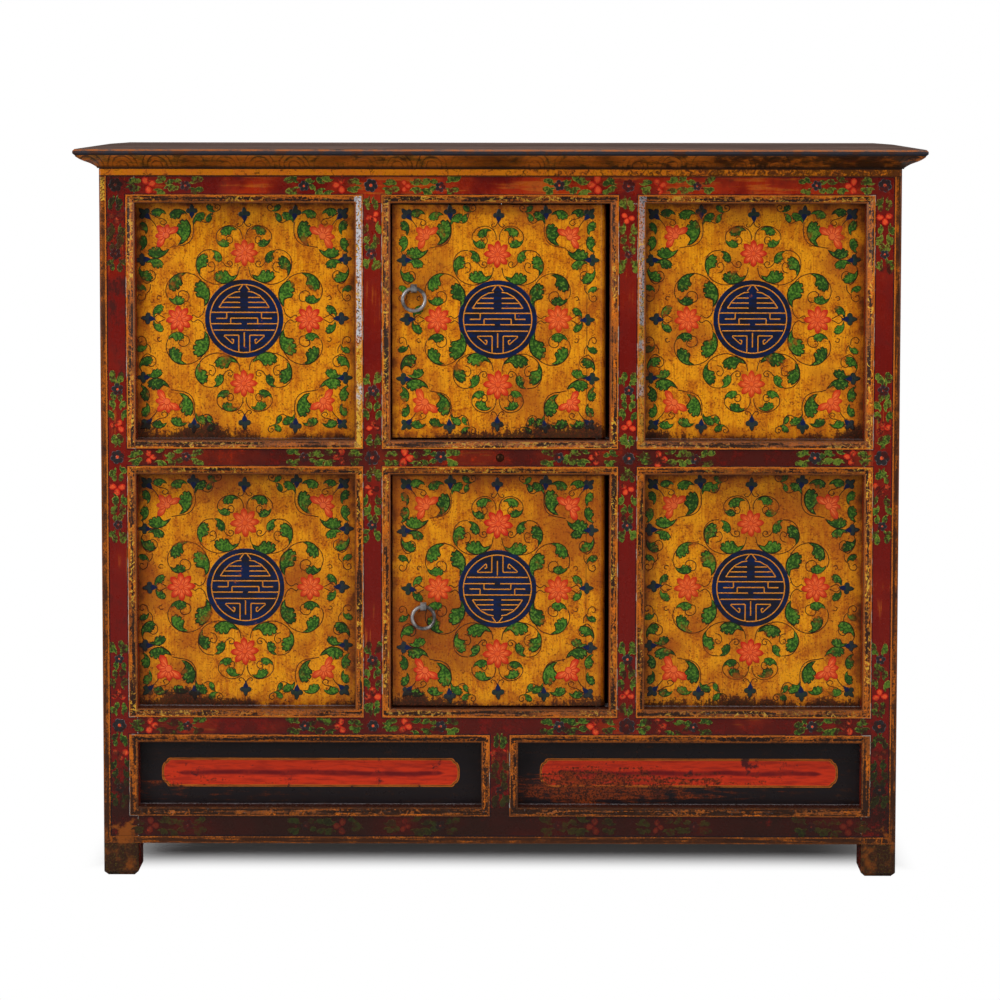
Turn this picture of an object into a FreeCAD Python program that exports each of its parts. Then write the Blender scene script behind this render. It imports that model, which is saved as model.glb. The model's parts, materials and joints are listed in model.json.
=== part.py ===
import FreeCAD
import Part
import os

# A painted altar cabinet: four posts, mortised rails and muntins hold thin painted panels, and the
# middle bay has two doors, one above the other, that turn on wooden pintles and are pulled by iron rings.
# Millimetres, +Z up, the front faces -Y. The origin is on the floor under the middle of the whole box.

# Carcass and feet
carcass_width = 1032.0
carcass_depth = 366.0
foot_height = 43.0
foot_chamfer = 5.5
post_width = 45.0
front_post_depth = 58.0
rear_post_depth = 45.0
post_rounding = 3.0

# Heights of the front, from the feet up
bottom_rail_height = 47.0
base_opening_height = 85.0
lower_rail_height = 45.0
lower_opening_height = 306.0
middle_rail_height = 45.0
upper_opening_height = 306.0
top_rail_height = 45.0
cornice_height = 17.0
top_thickness = 10.0

# Front frame and its mouldings
frame_depth = 50.0
muntin_width = 46.5
base_muntin_width = 48.0
bead_width = 11.0
bead_slope_width = 8.5
bead_slope_depth = 5.0
field_depth = 1.5
border_width = 9.0
top_fillet_height = 10.0

# Panels and their grooves
panel_recess = 28.0
panel_thickness = 9.0
panel_tongue = 7.0
groove_room = 1.0

# Mortise and tenon joints
joint_clearance = 0.2
tenon_setback = 9.0
tenon_thickness = 14.0
tenon_shoulder = 8.0
rail_tenon_length = 30.0
muntin_tenon_length = 16.0

# Side and rear frames
side_inset = 3.0
side_rail_thickness = 28.0
side_panel_recess = 9.0
side_tenon_thickness = 12.0
side_tenon_length = 26.0
side_slope_width = 5.0
rear_rail_thickness = 26.0
rear_tenon_length = 20.0
back_board_thickness = 11.0
back_board_inset = 2.0
back_board_count = 6
board_gap = 0.6

# Cornice and top
cornice_overhang = 30.0
cove_projection = 27.0
cove_foot_projection = 2.0
cove_fillet = 1.2
cove_bulge = 0.5
top_nose_drop = 2.0
top_nose_run = 2.5
top_slope_run = 30.0
top_board_count = 3
top_peg_radius = 4.0
top_peg_tenon_gap = 2.0
peg_clearance = 0.1

# Shelf, floor and bearers
shelf_thickness = 14.0
shelf_board_count = 2
shelf_end_gap = 2.5
bearer_width = 24.0
bearer_height = 24.0
bearer_stub = 9.0
bearer_shoulder = 6.0
top_bearer_height = 40.0
top_bearer_stub_height = 12.0

# Doors and their pintles
door_recess = 16.0
door_thickness = 18.0
door_latch_gap = 2.0
door_hinge_gap = 4.5
door_end_gap = 2.0
hinge_stile_width = 25.0
door_tongue = 6.0
pintle_radius = 6.0
pintle_clearance = 0.3
pintle_depth = 12.0
pintle_end_room = 1.5
batten_height = 30.0
batten_proud = 10.0
batten_inset = 18.0
batten_from_end = 50.0
dovetail_depth = 5.0
dovetail_flare = 2.0
stop_width = 12.0
stop_thickness = 12.0
stop_gap = 0.5

# Ring pulls
ring_outer_radius = 16.8
ring_wire_radius = 2.3
strap_width = 7.5
strap_thickness = 2.2
strap_slit = 0.3
eye_clearance = 1.1
eye_door_gap = 0.4
clench_length = 12.0
upper_pull_from_edge = 28.0
upper_pull_from_top = 110.0
lower_pull_from_edge = 40.0
lower_pull_from_top = 173.0

# Nails and the stud in the middle rail
nail_radius = 1.6
nail_length = 28.0
nail_head_radius = 4.5
nail_head_thickness = 1.5
stud_radius = 4.0
stud_length = 26.0
stud_head_radius = 5.4
stud_head_rise = 2.4

# A cut starts this far outside the wood, so that no thin skin is left on a face
cut_margin = 2.0

# Levels worked out from the sizes above
half_width = carcass_width / 2
front_y = cornice_overhang - (carcass_depth + cornice_overhang) / 2
back_y = front_y + carcass_depth
inner_x = half_width - post_width
bottom_rail_top = foot_height + bottom_rail_height
lower_rail_z = bottom_rail_top + base_opening_height
lower_rail_top = lower_rail_z + lower_rail_height
middle_rail_z = lower_rail_top + lower_opening_height
middle_rail_top = middle_rail_z + middle_rail_height
top_rail_z = middle_rail_top + upper_opening_height
carcass_top = top_rail_z + top_rail_height
cornice_top = carcass_top + cornice_height
top_z = cornice_top + top_thickness
opening_width = (2 * inner_x - 2 * muntin_width) / 3
bay_half = opening_width / 2
base_opening_width = (2 * inner_x - base_muntin_width) / 2
frame_back_y = front_y + frame_depth
front_post_back_y = front_y + front_post_depth
rear_post_front_y = back_y - rear_post_depth
back_board_y = back_y - back_board_inset - back_board_thickness
rear_rail_y = back_board_y - rear_rail_thickness
side_face_x = half_width - side_inset
side_inner_x = side_face_x - side_rail_thickness
pivot_x = bay_half - door_hinge_gap - door_thickness / 2
pivot_y = front_y + door_recess + door_thickness / 2
door_front_y = front_y + door_recess
door_back_y = door_front_y + door_thickness
door_left_x = door_latch_gap - bay_half
ring_radius = ring_outer_radius - ring_wire_radius
eye_radius = ring_wire_radius + eye_clearance
eye_outer_radius = eye_radius + strap_thickness
eye_y = door_front_y - eye_outer_radius - eye_door_gap

SIDES = (("left", -1), ("right", 1))
LOWER_ROW = (lower_rail_top, middle_rail_z)
UPPER_ROW = (middle_rail_top, top_rail_z)
BASE_ROW = (bottom_rail_top, lower_rail_z)
ALONG_X = FreeCAD.Vector(1, 0, 0)
ALONG_Y = FreeCAD.Vector(0, 1, 0)
ALONG_Z = FreeCAD.Vector(0, 0, 1)

pieces = {}


def block(x, y, z):
    """A box from its low and high x, y and z."""
    low = FreeCAD.Vector(x[0], y[0], z[0])
    return Part.makeBox(x[1] - x[0], y[1] - y[0], z[1] - z[0], low)


def grown(span, by):
    """A low and high pair moved outwards by the same amount at both ends."""
    return (span[0] - by, span[1] + by)


def about(centre, size):
    """The low and high ends of a length that is centred on a point."""
    return (centre - size / 2, centre + size / 2)


def mirrored(sign, span):
    """A span of x on the right side, or its mirror image on the left."""
    return tuple(sorted(sign * end for end in span))


def prism(points, sweep):
    """A solid from a closed outline of points, swept along a vector."""
    outline = Part.makePolygon(points + points[:1])
    return Part.Face(outline).extrude(sweep)


def cut(name, *cutters):
    """Takes shapes away from a piece."""
    for cutter in cutters:
        pieces[name] = pieces[name].cut(cutter)


def tenon(male, female, x, y, z):
    """A tenon on one piece, and its mortise, a clearance larger all round, in the other."""
    pieces[male] = pieces[male].fuse(block(x, y, z)).removeSplitter()
    cut(female, block(*(grown(span, joint_clearance) for span in (x, y, z))))


def front_openings():
    """The eight openings of the front, as pairs of x and z spans."""
    bays = [about(step * (opening_width + muntin_width), opening_width) for step in (-1, 0, 1)]
    base = [about(sign * (base_opening_width + base_muntin_width) / 2, base_opening_width)
            for side, sign in SIDES]
    upper = [(x, row) for row in (UPPER_ROW, LOWER_ROW) for x in bays]
    return upper + [(x, BASE_ROW) for x in base]


def bead_slope(x, z):
    """The wedge that leaves a sloping bead, mitred at the corners, round one front opening."""
    spread = bead_slope_width * (1 + cut_margin / bead_slope_depth)
    outlines = []
    for y, by in ((front_y - cut_margin, spread), (front_y + bead_slope_depth, 0)):
        (x0, x1), (z0, z1) = grown(x, by), grown(z, by)
        corners = [FreeCAD.Vector(px, y, pz) for px, pz in ((x0, z0), (x1, z0), (x1, z1), (x0, z1))]
        outlines.append(Part.makePolygon(corners + corners[:1]))
    return Part.makeLoft(outlines, True, True)


def sunk_fields():
    """The shallow flat fields between the beads, as one shape to take away from the front."""
    depth = (front_y - cut_margin, front_y + field_depth)
    edges = (-half_width + border_width, half_width - border_width)
    fields = block(edges, depth, (foot_height + border_width, carcass_top - top_fillet_height))
    for x, z in front_openings():
        fields = fields.cut(block(grown(x, bead_width), depth, grown(z, bead_width)))
    return fields


def make_posts():
    """Four full-height posts whose lower ends are the feet."""
    depths = (("front", (front_y, front_post_back_y)), ("rear", (rear_post_front_y, back_y)))
    for end, y in depths:
        for side, sign in SIDES:
            post = block(mirrored(sign, (inner_x, half_width)), y, (0, carcass_top))
            feet = [edge for edge in post.Edges if edge.BoundBox.ZMax < foot_chamfer]
            post = post.makeChamfer(foot_chamfer, feet)
            outer = [edge for edge in post.Edges if edge.BoundBox.ZLength > foot_height
                     and abs(edge.BoundBox.Center.x) > inner_x + post_width / 2]
            pieces[f"{end}_{side}_post"] = post.makeFillet(post_rounding, outer)


def make_front_rails():
    """Four rails from post to post, tenoned into both posts."""
    rails = (("bottom", foot_height, bottom_rail_top), ("lower", lower_rail_z, lower_rail_top),
             ("middle", middle_rail_z, middle_rail_top), ("top", top_rail_z, carcass_top))
    thickness = (front_y + tenon_setback, front_y + tenon_setback + tenon_thickness)
    for level, low, high in rails:
        name = f"front_{level}_rail"
        pieces[name] = block((-inner_x, inner_x), (front_y, frame_back_y), (low, high))
        for side, sign in SIDES:
            length = mirrored(sign, (inner_x, inner_x + rail_tenon_length))
            tenon(name, f"front_{side}_post", length, thickness, grown((low, high), -tenon_shoulder))


def make_muntin(name, centre_x, width, row, below, above):
    """A short upright between two rails, with a stub tenon in each."""
    pieces[name] = block(about(centre_x, width), (front_y, frame_back_y), row)
    across = grown(about(centre_x, width), -tenon_shoulder)
    thickness = (front_y + tenon_setback, front_y + tenon_setback + tenon_thickness)
    tenon(name, below, across, thickness, (row[0] - muntin_tenon_length, row[0]))
    tenon(name, above, across, thickness, (row[1], row[1] + muntin_tenon_length))


def make_muntins():
    """Two uprights in each row of panels, and one between the base panels."""
    rows = (("upper", UPPER_ROW, "front_middle_rail", "front_top_rail"),
            ("lower", LOWER_ROW, "front_lower_rail", "front_middle_rail"))
    for row_name, row, below, above in rows:
        for side, sign in SIDES:
            centre_x = sign * (opening_width + muntin_width) / 2
            make_muntin(f"{row_name}_{side}_muntin", centre_x, muntin_width, row, below, above)
    make_muntin("base_muntin", 0, base_muntin_width, BASE_ROW, "front_bottom_rail", "front_lower_rail")


def mould_front():
    """Works the beads and the sunk fields on every piece of the front frame."""
    fields = sunk_fields()
    slopes = [bead_slope(x, z) for x, z in front_openings()]
    for name in pieces:
        if name.startswith("front_") or name.endswith("_muntin"):
            cut(name, fields, *slopes)


def make_panel(name, x, y, z, thin_axis, holders):
    """A thin panel whose edges sit in grooves, with a little room to swell, in the pieces round it."""
    spans = {"x": x, "y": y, "z": z}
    wide = [axis for axis in spans if axis != thin_axis]
    board = dict(spans)
    groove = {thin_axis: grown(spans[thin_axis], joint_clearance)}
    for axis in wide:
        board[axis] = grown(spans[axis], panel_tongue)
        groove[axis] = grown(spans[axis], panel_tongue + groove_room)
    pieces[name] = block(board["x"], board["y"], board["z"])
    for holder in holders:
        cut(holder, block(groove["x"], groove["y"], groove["z"]))


def make_front_panels():
    """Four square painted panels and two long base panels."""
    y = (front_y + panel_recess, front_y + panel_recess + panel_thickness)
    rows = (("upper", UPPER_ROW, "front_middle_rail", "front_top_rail"),
            ("lower", LOWER_ROW, "front_lower_rail", "front_middle_rail"))
    for side, sign in SIDES:
        for row_name, row, below, above in rows:
            x = about(sign * (opening_width + muntin_width), opening_width)
            holders = (below, above, f"front_{side}_post", f"{row_name}_{side}_muntin")
            make_panel(f"{row_name}_{side}_panel", x, y, row, "y", holders)
        x = about(sign * (base_opening_width + base_muntin_width) / 2, base_opening_width)
        holders = ("front_bottom_rail", "front_lower_rail", f"front_{side}_post", "base_muntin")
        make_panel(f"{side}_base_panel", x, y, BASE_ROW, "y", holders)


def make_sides():
    """On each side three rails between front and rear posts, and two panels."""
    levels = (("bottom", foot_height, bottom_rail_top), ("middle", middle_rail_z, middle_rail_top),
              ("top", top_rail_z, carcass_top))
    rows = (("lower", (bottom_rail_top, middle_rail_z), "bottom", "middle"),
            ("upper", UPPER_ROW, "middle", "top"))
    y = (front_post_back_y, rear_post_front_y)
    for side, sign in SIDES:
        x = mirrored(sign, (side_inner_x, side_face_x))
        tenon_x = about(sign * (side_inner_x + side_face_x) / 2, side_tenon_thickness)
        for level, low, high in levels:
            name = f"{side}_side_{level}_rail"
            pieces[name] = block(x, y, (low, high))
            tenon_z = grown((low, high), -tenon_shoulder)
            tenon(name, f"front_{side}_post", tenon_x, (y[0] - side_tenon_length, y[0]), tenon_z)
            tenon(name, f"rear_{side}_post", tenon_x, (y[1], y[1] + side_tenon_length), tenon_z)
        face = side_face_x - side_panel_recess
        panel_x = mirrored(sign, (face - panel_thickness, face))
        for row_name, row, below, above in rows:
            holders = [f"{side}_side_{level}_rail" for level in (below, above)]
            for holder in holders:
                slope_side_rail(holder, sign, y, row)
            holders += [f"{end}_{side}_post" for end in ("front", "rear")]
            make_panel(f"{side}_side_{row_name}_panel", panel_x, y, row, "x", holders)


def slope_side_rail(name, sign, y, row):
    """Slopes the long edges of a side rail towards the panel."""
    for edge_z, into_rail in ((row[0], -1), (row[1], 1)):
        outer = sign * (side_face_x + cut_margin)
        inner = sign * (side_face_x - side_slope_width)
        corner_z = edge_z + into_rail * (side_slope_width + cut_margin)
        points = [FreeCAD.Vector(px, y[0], pz)
                  for px, pz in ((inner, edge_z), (outer, edge_z), (outer, corner_z))]
        cut(name, prism(points, ALONG_Y * (y[1] - y[0])))


def make_rear():
    """Three rails between the rear posts, with upright boards nailed on behind them."""
    levels = (("bottom", foot_height, bottom_rail_top), ("middle", middle_rail_z, middle_rail_top),
              ("top", top_rail_z, cornice_top))
    y = (rear_rail_y, back_board_y)
    tenon_y = about((y[0] + y[1]) / 2, side_tenon_thickness)
    for level, low, high in levels:
        name = f"rear_{level}_rail"
        pieces[name] = block((-inner_x, inner_x), y, (low, high))
        tenon_z = grown((low, min(high, carcass_top)), -tenon_shoulder)
        for side, sign in SIDES:
            length = mirrored(sign, (inner_x, inner_x + rear_tenon_length))
            tenon(name, f"rear_{side}_post", length, tenon_y, tenon_z)
    width = (2 * inner_x - (back_board_count - 1) * board_gap) / back_board_count
    boards = []
    nails = []
    for index in range(back_board_count):
        x0 = -inner_x + index * (width + board_gap)
        boards.append(block((x0, x0 + width), (back_board_y, back_y - back_board_inset),
                            (foot_height, cornice_top)))
        for level, low, high in levels:
            for nail_x in (x0 + width / 4, x0 + 3 * width / 4):
                nails.append(back_nail(nail_x, (low + min(high, carcass_top)) / 2))
    holes = Part.makeCompound([nail_shank(nail, joint_clearance / 2) for nail in nails])
    pieces["back_boards"] = Part.makeCompound(boards).cut(holes)
    for level, low, high in levels:
        cut(f"rear_{level}_rail", holes)
    pieces["back_nails"] = Part.makeCompound([nail["solid"] for nail in nails])


def back_nail(x, z):
    """A forged nail with a low cone for a head, driven from behind."""
    seat = FreeCAD.Vector(x, back_y - back_board_inset, z)
    shank = Part.makeCylinder(nail_radius, nail_length, seat, -ALONG_Y)
    head = Part.makeCone(nail_head_radius, nail_radius, nail_head_thickness, seat, ALONG_Y)
    return {"seat": seat, "solid": shank.fuse(head).removeSplitter()}


def nail_shank(nail, clearance):
    """The hole that a nail's shank leaves in the wood."""
    start = nail["seat"] + ALONG_Y * cut_margin
    return Part.makeCylinder(nail_radius + clearance, nail_length + cut_margin + clearance, start, -ALONG_Y)


def cove_outline(place):
    """The cornice's section: a bed on the carcass and a hollow that swells out to the top's edge."""
    bottom = (cove_foot_projection, carcass_top)
    foot = (cove_foot_projection, carcass_top + cove_fillet)
    lip = (cove_projection, cornice_top - cove_fillet)
    middle = ((foot[0] + lip[0]) / 2, (foot[1] + lip[1]) / 2)
    hollow = ((foot[0] + middle[0]) / 2 - cove_bulge, (foot[1] + middle[1]) / 2 + cove_bulge)
    swell = ((lip[0] + middle[0]) / 2 + cove_bulge, (lip[1] + middle[1]) / 2 - cove_bulge)
    bed = [(-post_width, cornice_top), (-post_width, carcass_top)]
    corners = [place(*point) for point in bed + [bottom, foot]]
    edges = [Part.LineSegment(a, b).toShape() for a, b in zip(corners, corners[1:])]
    edges.append(Part.Arc(place(*foot), place(*hollow), place(*middle)).toShape())
    edges.append(Part.Arc(place(*middle), place(*swell), place(*lip)).toShape())
    end = place(cove_projection, cornice_top)
    edges.append(Part.LineSegment(place(*lip), end).toShape())
    edges.append(Part.LineSegment(end, corners[0]).toShape())
    return Part.Face(Part.Wire(edges))


def make_cornice():
    """Three cove mouldings on top of the carcass, mitred at the front corners."""
    reach = cornice_overhang
    front_line = (front_y - reach, front_y + post_width)
    tall = ALONG_Z * cornice_height
    long_x = half_width + reach
    moulding = cove_outline(lambda out, z: FreeCAD.Vector(-long_x, front_y - out, z))
    plan = [(-long_x, front_line[0]), (long_x, front_line[0]), (inner_x, front_line[1]),
            (-inner_x, front_line[1])]
    points = [FreeCAD.Vector(px, py, carcass_top) for px, py in plan]
    pieces["front_cornice"] = moulding.extrude(ALONG_X * 2 * long_x).common(prism(points, tall))
    for side, sign in SIDES:
        moulding = cove_outline(lambda out, z: FreeCAD.Vector(sign * (half_width + out), front_line[0], z))
        plan = [(long_x, front_line[0]), (long_x, back_y), (inner_x, back_y), (inner_x, front_line[1])]
        points = [FreeCAD.Vector(sign * px, py, carcass_top) for px, py in plan]
        run = moulding.extrude(ALONG_Y * (back_y - front_line[0]))
        pieces[f"{side}_cornice"] = run.common(prism(points, tall))


def nosed_outline(place, ends):
    """The top's section between two ends, each rounded to a nose, or plain where it has none."""
    points = []
    for out, nosed in ends:
        inwards = -1 if out > 0 else 1
        if nosed:
            profile = [(top_slope_run, top_z), (top_nose_run, top_z - top_nose_drop),
                       (0, top_z - top_nose_drop - top_nose_run), (0, cornice_top + top_nose_run),
                       (top_nose_run, cornice_top)]
        else:
            profile = [(0, top_z), (0, cornice_top)]
        points.append([place(out + inwards * run, z) for run, z in profile])
    return points[0] + points[1][::-1]


def make_top():
    """Boards along the cabinet, with a low nose worked along the front and both ends."""
    long_x = half_width + cornice_overhang
    low_y = front_y - cornice_overhang
    across = nosed_outline(lambda y, z: FreeCAD.Vector(-long_x, y, z), ((low_y, True), (back_y, False)))
    along = nosed_outline(lambda x, z: FreeCAD.Vector(x, low_y, z), ((-long_x, True), (long_x, True)))
    slab = prism(across, ALONG_X * 2 * long_x).common(prism(along, ALONG_Y * (back_y - low_y)))
    width = (back_y - low_y - (top_board_count - 1) * board_gap) / top_board_count
    for index, place in enumerate(("front", "middle", "rear")[:top_board_count]):
        y0 = low_y + index * (width + board_gap)
        strip = block((-long_x, long_x), (y0, y0 + width), (cornice_top, top_z))
        pieces[f"top_{place}_board"] = slab.common(strip)


def make_top_pegs():
    """Round pegs that hold the top boards down through the cornice."""
    front_row = front_y + post_width / 2
    rear_row = (rear_rail_y + back_board_y) / 2
    post_centre = half_width - post_width / 2
    spread = (-post_centre, -bay_half, bay_half, post_centre)
    places = [(x, y) for y in (front_row, rear_row) for x in spread]
    start_z = carcass_top - tenon_shoulder + top_peg_tenon_gap
    pegs = []
    holes = []
    for x, y in places:
        foot = FreeCAD.Vector(x, y, start_z)
        pegs.append(Part.makeCylinder(top_peg_radius, top_z - start_z, foot))
        below = foot - ALONG_Z * peg_clearance
        holes.append(Part.makeCylinder(top_peg_radius + peg_clearance, top_z - start_z + cut_margin, below))
    pieces["top_pegs"] = Part.makeCompound(pegs)
    tops = [name for name in pieces if name.startswith("top_") and name.endswith("_board")]
    ends = [f"{end}_{side}_post" for end in ("front", "rear") for side, sign in SIDES]
    cornices = [f"{side}_cornice" for side in ("front", "left", "right")]
    for name in tops + ends + cornices + ["front_top_rail", "rear_top_rail"]:
        cut(name, *holes)


def make_bearer(centre_x, z, stub_z, front_rail, rear_rail):
    """A bearer from a front rail to a rear rail, with a stub tenon let into each."""
    bearer = block(about(centre_x, bearer_width), (frame_back_y, rear_rail_y), z)
    stub_x = grown(about(centre_x, bearer_width), -bearer_shoulder)
    stubs = ((front_rail, (frame_back_y - bearer_stub, frame_back_y)),
             (rear_rail, (rear_rail_y, rear_rail_y + bearer_stub)))
    for rail, stub_y in stubs:
        bearer = bearer.fuse(block(stub_x, stub_y, stub_z))
        cut(rail, block(*(grown(span, joint_clearance) for span in (stub_x, stub_y, stub_z))))
    return bearer.removeSplitter()


def make_shelf(node, bearer_node, surface_z, front_rail, rear_rail):
    """Loose boards that run along the cabinet on three bearers."""
    bearer_top = surface_z - shelf_thickness
    z = (bearer_top - bearer_height, bearer_top)
    side_x = inner_x - bearer_width / 2
    places = (-side_x, 0, side_x)
    stub_z = grown(z, -bearer_shoulder)
    pieces[bearer_node] = Part.makeCompound(
        [make_bearer(x, z, stub_z, front_rail, rear_rail) for x in places])
    depth = rear_rail_y - frame_back_y
    width = (depth - (shelf_board_count + 1) * board_gap) / shelf_board_count
    boards = []
    for index in range(shelf_board_count):
        y0 = frame_back_y + board_gap + index * (width + board_gap)
        length = (-inner_x + shelf_end_gap, inner_x - shelf_end_gap)
        boards.append(block(length, (y0, y0 + width), (bearer_top, surface_z)))
    pieces[node] = Part.makeCompound(boards)


def make_top_bearers():
    """Two bearers under the top boards, let into the top rails."""
    z = (cornice_top - top_bearer_height, cornice_top)
    stub_z = (z[0] + bearer_shoulder, z[0] + bearer_shoulder + top_bearer_stub_height)
    places = [sign * (opening_width + muntin_width) / 2 for side, sign in SIDES]
    pieces["top_bearers"] = Part.makeCompound(
        [make_bearer(x, z, stub_z, "front_top_rail", "rear_top_rail") for x in places])


def dovetail(z_centre, x, clearance):
    """A batten's section: a dovetail let into the door's back and a plain bar that stands behind it."""
    wide = batten_height / 2 + clearance
    narrow = wide - dovetail_flare
    floor_y = door_back_y - dovetail_depth - clearance
    half = [(wide, floor_y), (narrow, door_back_y), (narrow, door_back_y + batten_proud)]
    outline = half + [(-z, y) for z, y in half[::-1]]
    points = [FreeCAD.Vector(x[0], y, z_centre + z) for z, y in outline]
    return prism(points, ALONG_X * (x[1] - x[0]))


def make_door(row_name, row, sill_rail, head_rail):
    """A board, a hinge stile whose ends are turned to pintles, and two dovetailed battens behind."""
    z = grown(row, -door_end_gap)
    y = (door_front_y, door_back_y)
    radius = door_thickness / 2
    joint_x = pivot_x + radius - hinge_stile_width
    centre_y = about(pivot_y, door_thickness / 3)
    tongue_z = grown(z, -tenon_shoulder)
    axis_low = FreeCAD.Vector(pivot_x, pivot_y, z[0])
    stile = block((joint_x, pivot_x), y, z).fuse(Part.makeCylinder(radius, z[1] - z[0], axis_low))
    pintle_foot = FreeCAD.Vector(pivot_x, pivot_y, row[0] - pintle_depth)
    pintle_span = row[1] - row[0] + 2 * pintle_depth
    stile = stile.fuse(Part.makeCylinder(pintle_radius, pintle_span, pintle_foot)).removeSplitter()
    stile_name = f"{row_name}_door_hinge_stile"
    board_name = f"{row_name}_door_board"
    pieces[stile_name] = stile
    pieces[board_name] = block((door_left_x, joint_x), y, z)
    tenon(board_name, stile_name, (joint_x, joint_x + door_tongue), centre_y, tongue_z)
    batten_x = (door_left_x + batten_inset, joint_x)
    heights = (z[0] + batten_from_end, z[1] - batten_from_end)
    pieces[f"{row_name}_door_battens"] = Part.makeCompound([dovetail(h, batten_x, 0) for h in heights])
    cut(board_name, *(dovetail(h, grown(batten_x, joint_clearance), joint_clearance / 2) for h in heights))
    hole_radius = pintle_radius + pintle_clearance
    hole_depth = pintle_depth + pintle_end_room
    for rail, foot_z in ((sill_rail, row[0] - hole_depth), (head_rail, row[1])):
        cut(rail, Part.makeCylinder(hole_radius, hole_depth, FreeCAD.Vector(pivot_x, pivot_y, foot_z)))
    stop_y = door_back_y + stop_gap
    pieces[f"{row_name}_door_stop"] = block((-bay_half, -bay_half + stop_width),
                                            (stop_y, stop_y + stop_thickness), row)


def make_pull(row_name, x, z):
    """A flat strap folded round an iron ring, driven through the door and clenched behind it."""
    across = about(x, strap_width)
    start = FreeCAD.Vector(across[0], eye_y, z)
    legs = about(z, 2 * strap_thickness + strap_slit)
    staple = Part.makeCylinder(eye_outer_radius, strap_width, start, ALONG_X)
    staple = staple.fuse(block(across, (eye_y, door_back_y + strap_thickness), legs))
    clench = block(across, (door_back_y, door_back_y + strap_thickness), grown(legs, clench_length))
    slit = block(across, (eye_y, door_back_y + strap_thickness), about(z, strap_slit))
    staple = staple.fuse(clench).cut(Part.makeCylinder(eye_radius, strap_width, start, ALONG_X)).cut(slit)
    pieces[f"{row_name}_pull_staple"] = staple.removeSplitter()
    slot_y = (door_front_y - cut_margin, door_back_y + cut_margin)
    slot = block(grown(across, joint_clearance), slot_y, grown(legs, joint_clearance))
    cut(f"{row_name}_door_board", slot)
    centre = FreeCAD.Vector(x, eye_y, z - ring_radius)
    pieces[f"{row_name}_pull_ring"] = Part.makeTorus(ring_radius, ring_wire_radius, centre, ALONG_Y)


def make_stud():
    """A round-headed stud in the middle of the middle rail."""
    z = (middle_rail_z + middle_rail_top) / 2
    seat = FreeCAD.Vector(0, front_y + field_depth, z)
    shank = Part.makeCylinder(stud_radius, stud_length, seat, ALONG_Y)
    ball = (stud_head_radius ** 2 + stud_head_rise ** 2) / (2 * stud_head_rise)
    dome = Part.makeSphere(ball, seat + ALONG_Y * (ball - stud_head_rise))
    head = Part.makeCylinder(stud_head_radius, stud_head_rise, seat, -ALONG_Y).common(dome)
    pieces["middle_rail_stud"] = head.fuse(shank).removeSplitter()
    hole_start = seat - ALONG_Y * cut_margin
    hole_length = stud_length + cut_margin + joint_clearance
    cut("front_middle_rail",
        Part.makeCylinder(stud_radius + joint_clearance / 2, hole_length, hole_start, ALONG_Y))


def build():
    make_posts()
    make_front_rails()
    make_muntins()
    mould_front()
    make_front_panels()
    make_sides()
    make_rear()
    make_cornice()
    make_top()
    make_top_pegs()
    make_top_bearers()
    make_shelf("shelf_boards", "shelf_bearers", middle_rail_top, "front_middle_rail", "rear_middle_rail")
    make_shelf("floor_boards", "floor_bearers", bottom_rail_top, "front_bottom_rail", "rear_bottom_rail")
    make_door("upper", UPPER_ROW, "front_middle_rail", "front_top_rail")
    make_door("lower", LOWER_ROW, "front_lower_rail", "front_middle_rail")
    make_pull("upper", door_left_x + upper_pull_from_edge, UPPER_ROW[1] - upper_pull_from_top)
    make_pull("lower", door_left_x + lower_pull_from_edge, LOWER_ROW[1] - lower_pull_from_top)
    make_stud()


build()
os.makedirs("parts", exist_ok=True)
for name, shape in pieces.items():
    shape.exportStep(f"parts/{name}.step")
    print(name, len(shape.Solids), "solids", round(shape.Volume / 1000, 1), "cm3", shape.isValid())
print(len(pieces), "nodes")
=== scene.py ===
import json
import math
import random
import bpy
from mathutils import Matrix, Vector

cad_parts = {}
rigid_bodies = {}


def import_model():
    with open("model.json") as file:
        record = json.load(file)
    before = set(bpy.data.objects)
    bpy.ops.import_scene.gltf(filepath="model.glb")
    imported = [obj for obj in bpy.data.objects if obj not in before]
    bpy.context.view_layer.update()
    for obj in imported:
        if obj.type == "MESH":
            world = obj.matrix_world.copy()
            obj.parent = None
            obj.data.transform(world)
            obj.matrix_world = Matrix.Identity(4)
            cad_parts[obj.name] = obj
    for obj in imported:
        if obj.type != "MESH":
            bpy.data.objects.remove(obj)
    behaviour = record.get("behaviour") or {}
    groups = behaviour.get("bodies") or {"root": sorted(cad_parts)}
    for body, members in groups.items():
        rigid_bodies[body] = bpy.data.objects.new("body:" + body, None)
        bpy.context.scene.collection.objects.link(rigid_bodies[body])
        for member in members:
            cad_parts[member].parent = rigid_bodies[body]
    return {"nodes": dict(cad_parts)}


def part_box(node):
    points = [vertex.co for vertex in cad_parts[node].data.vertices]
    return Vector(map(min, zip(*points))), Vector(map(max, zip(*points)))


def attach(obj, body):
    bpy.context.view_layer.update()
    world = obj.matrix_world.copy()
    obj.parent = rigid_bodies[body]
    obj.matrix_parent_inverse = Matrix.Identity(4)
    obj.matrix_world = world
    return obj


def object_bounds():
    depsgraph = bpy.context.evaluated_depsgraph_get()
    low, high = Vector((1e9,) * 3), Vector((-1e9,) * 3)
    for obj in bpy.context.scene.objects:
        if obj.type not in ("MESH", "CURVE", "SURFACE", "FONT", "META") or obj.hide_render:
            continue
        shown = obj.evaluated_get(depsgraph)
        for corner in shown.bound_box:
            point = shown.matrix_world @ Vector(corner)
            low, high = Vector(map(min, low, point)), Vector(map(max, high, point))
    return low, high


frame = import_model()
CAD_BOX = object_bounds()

from types import SimpleNamespace

import bpy
from mathutils import Matrix, Vector

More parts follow.
